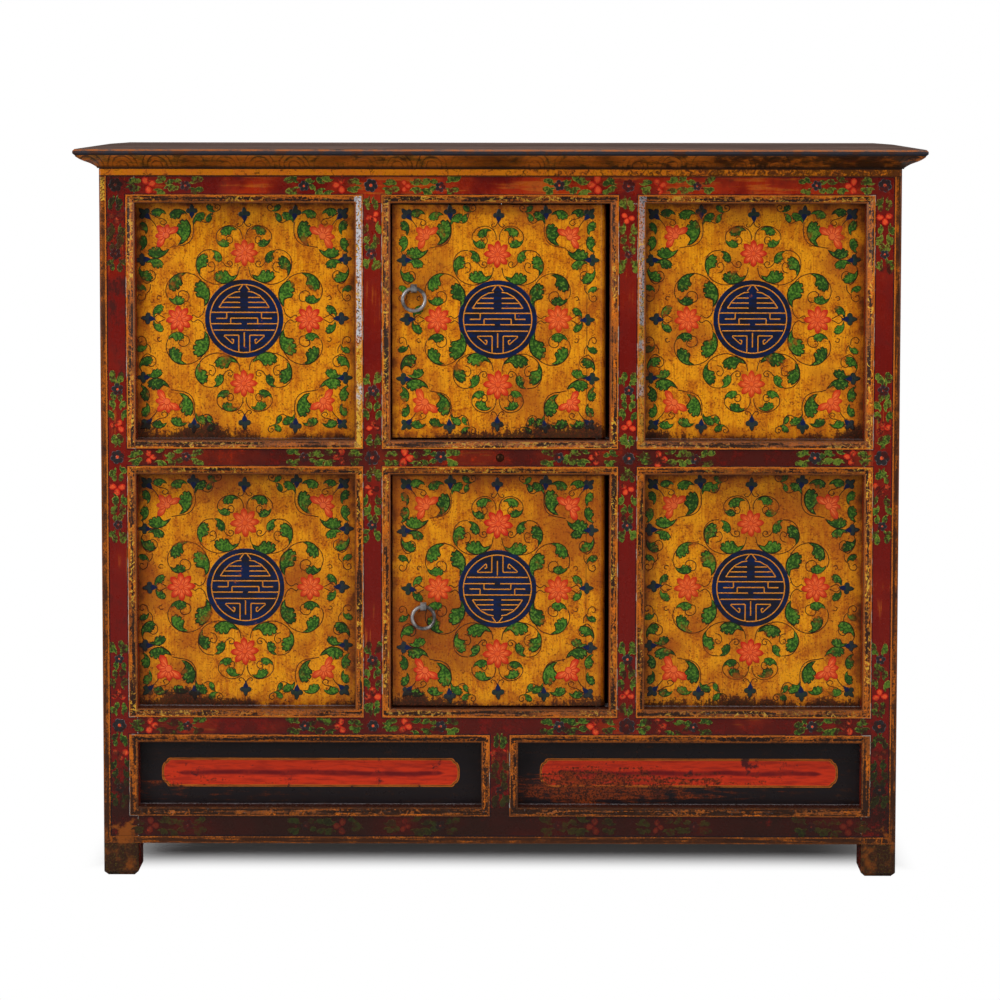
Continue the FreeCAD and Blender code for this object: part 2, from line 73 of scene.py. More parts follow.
bl_info = {
    "name": "Painted Altar Cabinet",
    "version": (1, 0, 0),
    "blender": (4, 5, 0),
    "location": "3D View > Sidebar > Cabinet",
    "description": "Paints an altar cabinet's joinery with its ornament and stages it",
    "category": "Object",
}

MM = 0.001
MATH = "ShaderNodeMath"
MIX = "ShaderNodeMix"
RANGE = "ShaderNodeMapRange"
NOISE = "ShaderNodeTexNoise"
RGBA = {"data_type": "RGBA", "out": 2}
SMOOTH = {"interpolation_type": "SMOOTHSTEP"}
X_AXIS, Y_AXIS, Z_AXIS = 0, 1, 2
SIDES = {"left": -1, "right": 1}
ROWS = ("upper", "lower")
QUARTERS = ((1, 1), (-1, 1), (-1, -1), (1, -1))


def span(node, axis):
    """The low and high ends of a CAD node along an axis, in millimetres."""
    low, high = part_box(node)
    return low[axis] / MM, high[axis] / MM


# Where the joinery is, read from the frame, in millimetres
INNER_X, HALF_WIDTH = span("front_right_post", X_AXIS)
MUNTIN_X = span("upper_right_muntin", X_AXIS)
HALF_BAY = MUNTIN_X[0]
BAY_PITCH = (INNER_X + MUNTIN_X[1]) / 2
UPPER_ROW = (span("front_middle_rail", Z_AXIS)[1], span("front_top_rail", Z_AXIS)[0])
LOWER_ROW = (span("front_lower_rail", Z_AXIS)[1], span("front_middle_rail", Z_AXIS)[0])
BASE_ROW = (span("front_bottom_rail", Z_AXIS)[1], span("front_lower_rail", Z_AXIS)[0])
BASE_X = (span("base_muntin", X_AXIS)[1], INNER_X)
FOOT_TOP = span("front_bottom_rail", Z_AXIS)[0]
CARCASS_TOP = span("front_top_rail", Z_AXIS)[1]
FRONT_Y = span("front_top_rail", Y_AXIS)[0]
PANEL_Y = span("upper_left_panel", Y_AXIS)[0]
DOOR_Y = span("upper_door_board", Y_AXIS)[0]

# Mouldings of the front frame, in millimetres
FIELD_SINK = 1.5
BEAD_WIDTH = 11.0
BORDER = 9.0
TOP_FILLET = 10.0
SLOPE_DEPTH = 5.0
FIELD_Y = FRONT_Y + FIELD_SINK

# What is painted and drawn, in millimetres: the joint of the doors, half the width of a dark line, half a
# scallop of the cornice, the radii of its lines, and the height of the cartouches' middle
DOOR_JOINT = span("upper_door_hinge_stile", X_AXIS)[0]
HALF_LINE = 0.7
SCALLOP = 22.0
SCALLOP_LINES = (11.0, 17.0, 23.0)
CARTOUCHE_Z = 131.0

# Heights between which dirt gathers, in millimetres: towards the floor, up the left post and on the sides;
# and the height that parts the lower row from the upper
FLOOR_DIRT = (210.0, 95.0)
POST_DIRT = (600.0, 800.0)
SIDE_DIRT = (330.0, 20.0)
ROW_SPLIT = LOWER_ROW[1] + 10

# Wear set by place, in millimetres: gold left below the head of the left post, with half its length; the
# knocked ends of the posts above the feet; dust in front of the panels; the painted edge and the worn lip
# below the top, whose orange is also a painted highlight
GILT_BELOW, GILT_HALF = 27.0, 15.0
KNOCKED = (22.0, 46.0)
DUST = (9.0, 1.0)
PAINTED_EDGE = (4.3, 4.8)
LIP_BELOW, LIP_HALF = 3.3, 1.1

# Where the base panels are scraped, in millimetres across the front: the right one from its worst place to
# its far end and from its near end, the left one up to its far end, and how high above the sill
SCRAPED_RIGHT = (130.0, 420.0)
SCRAPED_NEAR = (30.0, 110.0)
SCRAPED_LEFT = (-INNER_X, -180.0)
SCRAPED_TOP = (34.0, 60.0)

# How the painted designs sit in their openings, in millimetres up and to the left of the middle, with how far
# they are drawn in across on the doors; and the radius of the rosettes where the members of the frame cross
DESIGN_UP = 2.5
PANEL_DESIGN_LEFT = 2.5
DOOR_DESIGN_LEFT = 2.0
DOOR_SPREAD = 0.925
ROSETTE = 9.5


def linear(colour):
    """An sRGB hex value as a linear colour."""
    channels = [int(colour[start:start + 2], 16) / 255 for start in (1, 3, 5)]
    return tuple(c / 12.92 if c <= 0.04045 else ((c + 0.055) / 1.055) ** 2.4 for c in channels) + (1.0,)


COLOURS = {
    "ochre": ("Ochre", "Ground of the painted panels", "#BA6A08"),
    "ochre_light": ("Light ochre", "Ground where the coat is thick", "#D88E0E"),
    "orange": ("Orange", "Fillet below the cornice", "#D06C10"),
    "rubbed": ("Rubbed ochre", "Ground worn brown by hands", "#7A300C"),
    "ochre_stain": ("Stained ochre", "Ground where varnish has browned", "#8E420A"),
    # Dark dirt, and painted shade in recesses, reveals, inner bead edges and on faces that look up
    "grime": ("Grime", "Dark dirt in corners and along edges", "#1E120C"),
    "leaf": ("Leaf green", "Leaves of the panels", "#3A6618"),
    "leaf_dark": ("Dark leaf green", "Shaded leaves", "#17340F"),
    "leaf_vein": ("Vein green", "Light strokes on the leaves", "#62862C"),
    "outline": ("Ink", "Outlines and tendrils", "#1A0E06"),
    "petal_tip": ("Vermilion", "Tips of the lotus petals", "#AC140A"),
    "petal": ("Salmon", "Inner part of the lotus petals", "#DC581E"),
    "petal_pale": ("Pale salmon", "Light stroke along each petal", "#EE8E52"),
    "bud": ("Slate blue", "Lobes of the buds", "#262C30"),
    "indigo": ("Indigo", "Stems of the buds and the roundels", "#0A1B40"),
    "gold": ("Gold", "Lines of the roundels", "#C4802A"),
    "red": ("Oxblood red", "Fields of the front frame", "#6E120A"),
    "red_dark": ("Dark red", "Shaded red and reveals", "#420A08"),
    "red_bright": ("Bright red", "Red where the coat is fresh", "#A02A08"),
    "bead": ("Bead brown", "Ground of the beads", "#3C1E0C"),
    "fleck": ("Gold fleck", "Gold left on the beads", "#C99A30"),
    "line": ("Orange line", "Line along the beads", "#B8621A"),
    "edge_light": ("Light edge", "Light outline of the leaves on the frame", "#8E9038"),
    "line_blue": ("Blue line", "Dark line beside the beads", "#16151F"),
    "chip": ("Chalk", "Ground coat in chips", "#B4ACA0"),
    # Silver leaf, its pale colour also a painted sheen
    "silver": ("Silver leaf", "Silver left on the beads", "#B9B8BE"),
    "dust": ("Dust", "Dust on the ledges", "#6C6668"),
    "moss": ("Olive stain", "Stain on the feet", "#5C4E18"),
    "wood": ("Aged wood", "Unpainted wood of back and inside", "#6B4A2C"),
    "wood_dark": ("Dark wood grain", "Grain lines of unpainted wood", "#3F2917"),
    "black": ("Lamp black", "Base panels", "#15131A"),
    "cartouche": ("Cartouche red", "Long cartouches", "#CA3212"),
    "streak": ("Cartouche streak", "Dark stroke along a cartouche", "#640E12"),
    "cove": ("Cove brown", "Cornice moulding", "#864510"),
    "top": ("Top brown", "Boards of the top", "#3A2C27"),
    "top_edge": ("Edge of the top", "Blue-black paint on the edge of the top", "#24232A"),
    "top_pale": ("Dry top", "Top where the varnish is dry and dusty", "#5E4C44"),
    "spray_leaf": ("Olive", "Leaves on the frame", "#6A6E22"),
    "spray_red": ("Coral", "Flowers on the frame", "#CE4A22"),
    "iron": ("Worn iron", "Rings, staples and nails", "#A8A4A2"),
    "rust": ("Dark iron", "Scale and rust in the hollows", "#2E2826"),
}

SIZES = {
    "relief": ("Paint relief", "How far painted ornament stands off its ground", 0.35),
    "line_radius": ("Tendril radius", "Half the width of a tendril", 0.62),
    "stroke_radius": ("Stroke radius", "Half the width of a roundel's line", 0.85),
    "roundel_radius": ("Roundel radius", "Outer radius of the roundels", 50.8),
    "roundel_circle": ("Roundel circle", "Radius of the thin circle in a roundel", 44.2),
    "lotus_radius": ("Lotus radius", "Reach of a lotus petal", 18.5),
    "bud_size": ("Bud size", "Size of a blue bud", 10.5),
    "cartouche_length": ("Cartouche length", "Length of a long cartouche", 390.0),
    "cartouche_height": ("Cartouche height", "Height of a long cartouche", 38.0),
}


class CabinetColours(bpy.types.PropertyGroup):
    """Colours of the paints, the wood and the iron."""
    __annotations__ = {
        key: bpy.props.FloatVectorProperty(name=name, description=about, subtype="COLOR", size=4,
                                           min=0.0, max=1.0, default=linear(value))
        for key, (name, about, value) in COLOURS.items()}


class CabinetSizes(bpy.types.PropertyGroup):
    """Sizes of the painted ornament."""
    __annotations__ = {
        key: bpy.props.FloatProperty(name=name, description=about, unit="LENGTH", default=value * MM)
        for key, (name, about, value) in SIZES.items()}


class CabinetStage(bpy.types.PropertyGroup):
    """Camera and light."""
    eye: bpy.props.FloatVectorProperty(name="Camera place", description="Where the camera stands",
                                       unit="LENGTH", default=(0.020, -4.587, 1.030))
    turn: bpy.props.FloatProperty(name="Camera turn", description="Turn of the camera to the left",
                                  unit="ROTATION", default=math.radians(0.261))
    tilt: bpy.props.FloatProperty(name="Camera tilt", description="How far the camera looks down",
                                  unit="ROTATION", default=math.radians(4.421))
    roll: bpy.props.FloatProperty(name="Camera roll", description="Roll about the line of sight",
                                  unit="ROTATION", default=math.radians(0.065))
    lens: bpy.props.FloatProperty(name="Lens", description="Focal length", unit="CAMERA", default=123.78)
    shift: bpy.props.FloatProperty(name="Shift", description="Vertical shift of the lens", default=-0.15)
    key: bpy.props.FloatProperty(name="Key light", description="Power of the soft light at upper left",
                                 unit="POWER", default=82.0)
    fill: bpy.props.FloatProperty(name="Fill light", description="Power of the soft light at right",
                                  unit="POWER", default=36.0)
    top: bpy.props.FloatProperty(name="Top light", description="Power of the soft light overhead",
                                 unit="POWER", default=160.0)
    rear: bpy.props.FloatProperty(name="Rear light", description="Power of the soft light behind",
                                  unit="POWER", default=90.0)
    sky: bpy.props.FloatProperty(name="Room light", description="Strength of the light all round",
                                 default=0.12)


def add(tree, kind, inputs=(), out=0, **settings):
    """Adds a node with its settings, links or sets its inputs, and returns one output, or all of them."""
    node = tree.nodes.new(kind)
    for name, value in settings.items():
        setattr(node, name, value)
    for socket, value in dict(inputs).items():
        if isinstance(value, bpy.types.NodeSocket):
            tree.links.new(value, node.inputs[socket])
        else:
            node.inputs[socket].default_value = value
    return node.outputs if out is None else node.outputs[out]


def new_group(name, kind, inputs, outputs):
    """A new node tree with named sockets, and its group input's outputs."""
    tree = bpy.data.node_groups.new(name, kind)
    for in_out, sockets in (("INPUT", inputs), ("OUTPUT", outputs)):
        for socket, socket_type in sockets:
            tree.interface.new_socket(socket, in_out=in_out, socket_type=socket_type)
    return tree, add(tree, "NodeGroupInput", out=None)


def layout_group():
    """Distances on the front, in millimetres, from Object coordinates: to the nearest opening, to the
    carcass edge, and up from the sill of a row."""
    tree, given = new_group("front_layout", "ShaderNodeTree", [("Vector", "NodeSocketVector")],
                            [(name, "NodeSocketFloat") for name in ("Edge", "Border", "Sill", "X", "Y", "Z")])
    scaled = add(tree, "ShaderNodeVectorMath", {0: given[0], 3: 1 / MM}, operation="SCALE")
    x, y, z = add(tree, "ShaderNodeSeparateXYZ", {0: scaled}, out=None)
    across = add(tree, MATH, {0: x}, operation="ABSOLUTE")

    def outside(value, low, high):
        """How far a value is outside a span; negative inside it."""
        off = add(tree, MATH, {0: value, 1: (low + high) / 2}, operation="SUBTRACT")
        off = add(tree, MATH, {0: off}, operation="ABSOLUTE")
        return add(tree, MATH, {0: off, 1: (high - low) / 2}, operation="SUBTRACT")

    side_bay = outside(across, BAY_PITCH - HALF_BAY, BAY_PITCH + HALF_BAY)
    middle_bay = add(tree, MATH, {0: across, 1: HALF_BAY}, operation="SUBTRACT")
    column = add(tree, MATH, {0: side_bay, 1: middle_bay}, operation="MINIMUM")
    row = add(tree, MATH, {0: outside(z, *UPPER_ROW), 1: outside(z, *LOWER_ROW)}, operation="MINIMUM")
    grid = add(tree, MATH, {0: column, 1: row}, operation="MAXIMUM")
    base = add(tree, MATH, {0: outside(across, *BASE_X), 1: outside(z, *BASE_ROW)}, operation="MAXIMUM")
    edge = add(tree, MATH, {0: grid, 1: base}, operation="MINIMUM")
    side = add(tree, MATH, {0: HALF_WIDTH, 1: across}, operation="SUBTRACT")
    ends = outside(z, FOOT_TOP, CARCASS_TOP - TOP_FILLET + BORDER)
    ends = add(tree, MATH, {0: ends, 1: -1.0}, operation="MULTIPLY")
    border = add(tree, MATH, {0: side, 1: ends}, operation="MINIMUM")
    sill = add(tree, MATH, {0: z, 1: BASE_ROW[0]}, operation="SUBTRACT")
    for low in (LOWER_ROW[0], UPPER_ROW[0]):
        above = add(tree, MATH, {0: z, 1: low}, operation="SUBTRACT")
        past = add(tree, MATH, {0: above, 1: -1.0}, operation="GREATER_THAN")
        sill = add(tree, MIX, {0: past, 2: sill, 3: above})
    add(tree, "NodeGroupOutput", {0: edge, 1: border, 2: sill, 3: x, 4: y, 5: z}, out=None)
    return tree


# Marks of age: how large each is in metres, and its detail, roughness and curl
AGE_MARKS = {"Blotch": (0.09, 4.0, 0.55, 0.0), "Streak": (0.004, 4.0, 0.6, 0.0),
             "Speck": (0.0024, 2.0, 0.6, 0.0), "Chip": (0.022, 7.0, 0.68, 0.0),
             "Fleck": (0.006, 4.0, 0.6, 1.4)}


def age_group():
    """The marks that a century of use leaves, each from 0 to 1: blotches, brushed streaks along a stretched
    place, specks, ragged chips and curled flecks."""
    tree, given = new_group("age_marks", "ShaderNodeTree",
                            [("Vector", "NodeSocketVector"), ("Streaked", "NodeSocketVector")],
                            [(name, "NodeSocketFloat") for name in AGE_MARKS])
    marks = {}
    for order, (name, (size, detail, roughness, curl)) in enumerate(AGE_MARKS.items()):
        place = given["Streaked" if name == "Streak" else "Vector"]
        marks[order] = add(tree, NOISE, {0: place, 2: 1 / size, 3: detail, 4: roughness, 8: curl})
    add(tree, "NodeGroupOutput", marks, out=None)
    return tree


def shared_tree(name, make):
    """A node tree that several finishes or pieces share, made at its first use."""
    return bpy.data.node_groups.get(name) or make()


def begin_finish(name, stretch=(1.0, 1.0, 0.06)):
    """A new material and its tree, with age marks and front layout under their names in small letters.
    Streaks are drawn out by the stretch."""
    paint = bpy.data.materials.new(name)
    paint.use_nodes = True
    tree = paint.node_tree
    tree.nodes.clear()
    place = add(tree, "ShaderNodeTexCoord", out="Object")
    streaked = add(tree, "ShaderNodeMapping", {0: place, 3: stretch})
    groups = []
    for group, places in ((shared_tree("age_marks", age_group), {0: place, 1: streaked}),
                          (shared_tree("front_layout", layout_group), {0: place})):
        marks = add(tree, "ShaderNodeGroup", places, out=None, node_tree=group)
        groups.append(SimpleNamespace(**{mark.name.lower(): mark for mark in marks}))
    return paint, tree, *groups


def end_finish(paint, colour, roughness, height, bump, **fixed):
    """Ends a material in its shader and bump, with fixed values on the shader's own sockets."""
    tree = paint.node_tree
    normal = add(tree, "ShaderNodeBump", {"Strength": 0.7, "Distance": bump * MM, "Height": height})
    sockets = {"Base Color": colour, "Roughness": roughness, "Normal": normal, "Specular IOR Level": 0.22}
    sockets.update({name.replace("_", " "): value for name, value in fixed.items()})
    shader = add(tree, "ShaderNodeBsdfPrincipled", sockets)
    add(tree, "ShaderNodeOutputMaterial", {0: shader}, out=None)
    return paint


def coated(tree, colour, *coats):
    """Lays coats over a colour in turn. A coat comes with its share of the surface, or with several shares
    that have to meet; where two values and a greatest share follow, the coat grows from the one value to the
    other."""
    for where, *reading, coat in coats:
        share, *others = where if isinstance(where, tuple) else (where,)
        for other in others:
            share = add(tree, MATH, {0: share, 1: other}, operation="MULTIPLY")
        if reading:
            low, high, most = reading
            share = add(tree, RANGE, {0: share, 1: low, 2: high, 4: most}, **SMOOTH)
        colour = add(tree, MIX, {0: share, 6: colour, 7: coat}, **RGBA)
    return colour


def weighed(tree, total, *terms):
    """A score for dirt, wear or shade: several marks added to a value, each times its weight."""
    for mark, weight in terms:
        total = add(tree, MATH, {0: mark, 1: weight, 2: total}, operation="MULTIPLY_ADD")
    return total


def motif_marks(tree):
    """What a painted motif carries: along and across it, its tone, its rim and its own shade."""
    spot = add(tree, "ShaderNodeAttribute", out="Vector", attribute_name="spot")
    along, side, tone = add(tree, "ShaderNodeSeparateXYZ", {0: spot}, out=None)
    rim, shade = (add(tree, "ShaderNodeAttribute", out="Fac", attribute_name=name)
                  for name in ("rim", "shade"))
    return SimpleNamespace(along=along, side=side, tone=tone, rim=rim, shade=shade)


def sill_dirt(tree, age, plan):
    """Where wet dirt has crept up from a sill, ragged and in spikes, and higher in the lower row."""
    lower = add(tree, RANGE, {0: plan.z, 1: ROW_SPLIT, 2: LOWER_ROW[1], 3: 0.0, 4: 4.0})
    reach = weighed(tree, -76.0, (age.blotch, 100.0), (age.streak, 30.0), (age.speck, 34.0), (lower, 1.0))
    above = add(tree, MATH, {0: plan.sill, 1: reach}, operation="SUBTRACT")
    return add(tree, RANGE, {0: above, 1: 4.0, 2: -5.0, 4: 0.92}, **SMOOTH)


def ragged_edge(tree, age, plan):
    """Distance to the edge of an opening, ragged by chips, for the dirt and painted shade that lie along it.
    """
    return weighed(tree, -20.0, (age.chip, 40.0), (plan.edge, 1.0))


# Where hands have rubbed the doors about the rings: the place in metres, its reach and how far it is rubbed
HANDLED = (((-0.075, DOOR_Y * MM, 0.325), 0.09, 0.75), ((-0.105, DOOR_Y * MM, 0.77), 0.04, 0.5))


def ochre_distemper(c):
    """Panels: ochre distemper brushed on softwood and varnished. The brush leaves fine upright streaks, the
    varnish has browned in blotches, more so low down and about the rings, and dirt darkens the sills. Dirt
    and painted shade darken the edges by the frame. The doors show the joint of their stile, and the unseen
    faces are bare wood."""
    paint, tree, age, plan = begin_finish("ochre_distemper_varnished")
    coords = add(tree, "ShaderNodeTexCoord", out=None)
    thick = add(tree, MATH, {0: age.chip, 1: age.streak}, operation="ADD")
    lower = add(tree, MATH, {0: plan.z, 1: ROW_SPLIT}, operation="LESS_THAN")
    door = add(tree, MATH, {0: plan.x, 1: 0.0, 2: HALF_BAY}, operation="COMPARE")
    door = add(tree, MATH, {0: door, 1: lower}, operation="MULTIPLY")
    aged = weighed(tree, age.blotch, (lower, 0.05), (door, 0.05))
    mottle = add(tree, MATH, {0: age.chip, 1: age.speck}, operation="ADD")
    colour = coated(tree, c.ochre, (thick, 1.14, 0.86, 1.0, c.ochre_light),
                    (aged, 0.48, 0.74, 0.75, c.ochre_stain), (age.streak, 0.47, 0.3, 0.6, c.ochre_stain),
                    (mottle, 1.0, 1.22, 0.7, c.ochre_stain))
    ragged = add(tree, MATH, {0: age.chip, 1: 0.16, 2: -0.08}, operation="MULTIPLY_ADD")
    for place, reach, most in HANDLED:
        away = add(tree, "ShaderNodeVectorMath", {0: coords["Object"], 1: place}, out="Value",
                   operation="DISTANCE")
        away = add(tree, MATH, {0: away, 1: ragged}, operation="ADD")
        colour = coated(tree, colour, (away, reach, reach * 0.3, most, c.rubbed))
    # Towards the frame the ground darkens: dirt, and painted shade for the depth of the recess
    inner = ragged_edge(tree, age, plan)
    joint = add(tree, MATH, {0: plan.x, 1: DOOR_JOINT, 2: HALF_LINE}, operation="COMPARE")
    facing = add(tree, "ShaderNodeSeparateXYZ", {0: coords["Normal"]}, out="Y")
    plain = add(tree, MIX, {0: age.streak, 6: c.wood_dark, 7: c.wood}, **RGBA)
    colour = coated(tree, colour, (inner, -26.0, 3.0, 0.7, c.ochre_stain), (inner, -8.0, 6.0, 0.85, c.grime),
                    (sill_dirt(tree, age, plan), c.grime), ((joint, age.chip), c.grime),
                    (age.speck, 0.52, 0.62, 0.32, c.rubbed), (age.speck, 0.64, 0.72, 0.7, c.grime),
                    (facing, -0.75, -0.35, 1.0, plain))
    gloss = add(tree, RANGE, {0: age.blotch, 1: 0.3, 2: 0.7, 3: 0.24, 4: 0.38})
    return end_finish(paint, colour, gloss, age.streak, 0.2)


def worn_into_ground(tree, c, colour, age, plan, low, high):
    """Rubs a painted motif down to the ground in the same chips and along the same sills as the panel's, and
    darkens its edges with the same dirt and painted shade.
    """
    return coated(tree, colour, (age.chip, low, high, 0.75, c.ochre_stain),
                  (sill_dirt(tree, age, plan), c.grime),
                  (ragged_edge(tree, age, plan), -16.0, 4.0, 0.6, c.grime))


def leaf_green(c):
    """Leaves: mineral green laid thick and thin, so that it is mottled, in an ink outline. Each leaf has its
    own depth of colour."""
    paint, tree, age, plan = begin_finish("mineral_green_brushed")
    motif = motif_marks(tree)
    depth = add(tree, MATH, {0: motif.shade, 1: 0.5, 2: age.blotch}, operation="MULTIPLY_ADD")
    colour = coated(tree, c.leaf, (depth, 0.5, 1.15, 1.0, c.leaf_dark),
                    (age.speck, 0.48, 0.36, 0.7, c.leaf_vein), (age.speck, 0.48, 0.6, 0.85, c.leaf_dark),
                    (motif.rim, 0.05, 0.45, 0.92, c.outline))
    colour = worn_into_ground(tree, c, colour, age, plan, 0.56, 0.68)
    gloss = add(tree, RANGE, {0: age.speck, 1: 0.3, 2: 0.7, 3: 0.26, 4: 0.4})
    return end_finish(paint, colour, gloss, age.speck, 0.2)


def lotus_red(c):
    """Lotus flowers: salmon body colour deepened to vermilion at the tips and edges of the petals, with a
    pale stroke along each."""
    paint, tree, age, plan = begin_finish("vermilion_brushed")
    motif = motif_marks(tree)
    middle = add(tree, MATH, {0: motif.side}, operation="ABSOLUTE")
    pale = add(tree, RANGE, {0: middle, 1: 0.4, 2: 0.05, 4: 0.9}, **SMOOTH)
    deep = add(tree, RANGE, {0: motif.along, 1: 0.4, 2: 0.95, 4: 0.95}, **SMOOTH)
    edge = add(tree, RANGE, {0: motif.rim, 1: -0.1, 2: 0.35}, **SMOOTH)
    firm = add(tree, RANGE, {0: motif.tone, 3: 0.7, 4: 1.0})
    deep = add(tree, MATH, {0: deep, 1: motif.tone}, operation="MULTIPLY")
    edge = add(tree, MATH, {0: edge, 1: firm}, operation="MULTIPLY")
    red = add(tree, MATH, {0: deep, 1: edge}, operation="MAXIMUM")
    colour = coated(tree, c.petal, (age.speck, c.spray_red), ((pale, age.chip), c.petal_pale),
                    (red, c.petal_tip), ((motif.shade, 0.12), c.ochre))
    colour = worn_into_ground(tree, c, colour, age, plan, 0.62, 0.74)
    return end_finish(paint, colour, 0.36, age.speck, 0.2)


def bud_blue(c):
    """Buds: thin slate blue that has browned, on a dense indigo stem, outlined in ink."""
    paint, tree, age, plan = begin_finish("slate_blue_brushed")
    motif = motif_marks(tree)
    colour = coated(tree, c.bud, (motif.shade, c.leaf_dark), (0.55, c.bud), (motif.tone, c.indigo),
                    (age.speck, 0.48, 0.7, 0.5, c.grime), (motif.rim, 0.25, 0.6, 0.9, c.outline))
    colour = worn_into_ground(tree, c, colour, age, plan, 0.62, 0.74)
    return end_finish(paint, colour, 0.32, age.speck, 0.2)


def ink_line(c):
    """Tendrils: one stroke of brown ink, thin where the brush ran dry."""
    paint, tree, age, _ = begin_finish("brown_ink_drawn")
    colour = coated(tree, c.outline, (age.chip, 0.54, 0.7, 0.75, c.ochre_stain), (0.15, c.rubbed))
    return end_finish(paint, colour, 0.35, age.speck, 0.1)


def roundel_indigo(c):
    """Roundels: indigo over black, brushed level and thin in patches, with pin-sized losses."""
    paint, tree, age, _ = begin_finish("indigo_brushed", (0.08, 1.0, 1.0))
    thick = add(tree, MATH, {0: age.chip, 1: age.streak}, operation="ADD")
    colour = coated(tree, c.line_blue, (thick, 0.85, 1.15, 1.0, c.indigo),
                    (age.chip, 0.66, 0.72, 0.8, c.ochre_stain))
    return end_finish(paint, colour, 0.28, age.streak, 0.2)


def roundel_gold(c):
    """Lines of the roundels: ochre gold paint, rubbed."""
    paint, tree, age, _ = begin_finish("ochre_gold_drawn")
    colour = coated(tree, c.gold, (age.chip, c.ochre), (age.chip, 0.6, 0.7, 0.6, c.ochre_stain))
    return end_finish(paint, colour, 0.3, age.speck, 0.15)


def dirt_bias(tree, plan):
    """How much more dirt the front frame has towards the floor, and that with the left post's upper part."""
    floor = add(tree, RANGE, {0: plan.z, 1: FLOOR_DIRT[0], 2: FLOOR_DIRT[1], 3: 0.0, 4: 0.16})
    post = add(tree, RANGE, {0: plan.x, 1: -INNER_X + 10, 2: -INNER_X - 8, 3: 0.0, 4: 1.0})
    high = add(tree, RANGE, {0: plan.z, 1: POST_DIRT[0], 2: POST_DIRT[1], 3: 0.0, 4: 0.13})
    return floor, add(tree, MATH, {0: post, 1: high, 2: floor}, operation="MULTIPLY_ADD")


def old_dirt(tree, c, age):
    """Old dirt on the frame: black-brown, and dark red where it is thin."""
    thin = add(tree, RANGE, {0: age.blotch, 1: 0.4, 2: 0.7, 4: 0.6})
    return add(tree, MIX, {0: thin, 6: c.grime, 7: c.red_dark}, **RGBA)


def red_fields(tree, c, age, plan, red, bias, soil, fresh_share):
    """Red fields: brighter where the coat is fresh, scuffed to orange on the top rail, and soiled, most of
    all on the middle rail."""
    high = add(tree, RANGE, {0: plan.z, 1: LOWER_ROW[0], 2: UPPER_ROW[1], 3: -0.06, 4: 0.06})
    fresh = add(tree, MATH, {0: age.blotch, 1: high}, operation="ADD")
    scuff = add(tree, RANGE, {0: plan.z, 1: UPPER_ROW[1], 2: UPPER_ROW[1] + 20, 3: 0.0, 4: 0.09})
    scuff = add(tree, MATH, {0: age.streak, 1: age.blotch, 2: scuff}, operation="MULTIPLY_ADD")
    middle = (UPPER_ROW[0] + LOWER_ROW[1]) / 2
    rail = add(tree, MATH, {0: plan.z, 1: middle, 2: UPPER_ROW[0] - middle}, operation="COMPARE")
    between = add(tree, MATH, {0: plan.x, 1: 0.0, 2: INNER_X}, operation="COMPARE")
    rail = add(tree, MATH, {0: rail, 1: between}, operation="MULTIPLY")
    bias = add(tree, MATH, {0: rail, 1: 0.07, 2: bias}, operation="MULTIPLY_ADD")
    soiled = add(tree, RANGE, {0: plan.z, 1: soil[0], 2: soil[1], 3: 0.0, 4: soil[2]})
    grit = add(tree, MATH, {0: age.streak, 1: age.speck, 2: -0.25}, operation="MULTIPLY_ADD")
    soiled = weighed(tree, soiled, (bias, 1.0), (age.chip, 1.0), (grit, 0.6))
    most = add(tree, MATH, {0: bias, 1: 3.0, 2: 0.45}, operation="MULTIPLY_ADD", use_clamp=True)
    return coated(tree, red, (fresh, 0.46, 0.66, fresh_share, c.red_bright), (scuff, 0.34, 0.46, 0.6, c.line),
                  (soiled, 0.56, 0.76, most, old_dirt(tree, c, age)))


def frame_joints(tree, c, age, plan, across, colour):
    """Dark lines beside the beads and borders, and the joints of the frame, dark and in places chalky."""
    for distance, low in ((plan.edge, BEAD_WIDTH), (plan.border, BORDER)):
        line = add(tree, MATH, {0: distance, 1: low + 0.6, 2: HALF_LINE}, operation="COMPARE")
        colour = coated(tree, colour, ((line, 0.8), c.line_blue))
    joint = add(tree, MATH, {0: across, 1: INNER_X, 2: HALF_LINE}, operation="COMPARE")
    within = add(tree, MATH, {0: across, 1: INNER_X - BEAD_WIDTH}, operation="LESS_THAN")
    for level in UPPER_ROW + LOWER_ROW:
        shoulder = add(tree, MATH, {0: plan.z, 1: level, 2: HALF_LINE}, operation="COMPARE")
        shoulder = add(tree, MATH, {0: shoulder, 1: within}, operation="MULTIPLY")
        joint = add(tree, MATH, {0: joint, 1: shoulder}, operation="MAXIMUM")
    chalk = add(tree, RANGE, {0: age.speck, 1: 0.5, 2: 0.64, 4: 0.6}, **SMOOTH)
    return coated(tree, colour, (joint, c.grime), ((joint, chalk), c.chip))


def bead_ground(tree, c, age, floor):
    """The orange line along a bead, worn brown, and the bead's ground: black-brown under amber strokes."""
    worn = add(tree, MIX, {0: 0.45, 2: age.chip, 3: age.speck})
    worn = add(tree, MATH, {0: floor, 1: 0.9, 2: worn}, operation="MULTIPLY_ADD")
    line = coated(tree, c.cove, (age.streak, c.line), (0.5, c.line), (worn, 0.5, 0.66, 0.85, c.bead))
    amber = add(tree, MIX, {0: 0.62, 2: age.fleck, 3: age.streak})
    amber = add(tree, MATH, {0: floor, 1: -0.3, 2: amber}, operation="MULTIPLY_ADD")
    warm = add(tree, RANGE, {0: age.chip, 1: 0.4, 2: 0.6})
    warm = add(tree, MIX, {0: warm, 6: c.orange, 7: c.cove}, **RGBA)
    return line, coated(tree, c.grime, (age.streak, c.bead), (amber, 0.46, 0.52, 0.9, warm),
                        (age.speck, 0.53, 0.62, 0.6, c.grime))


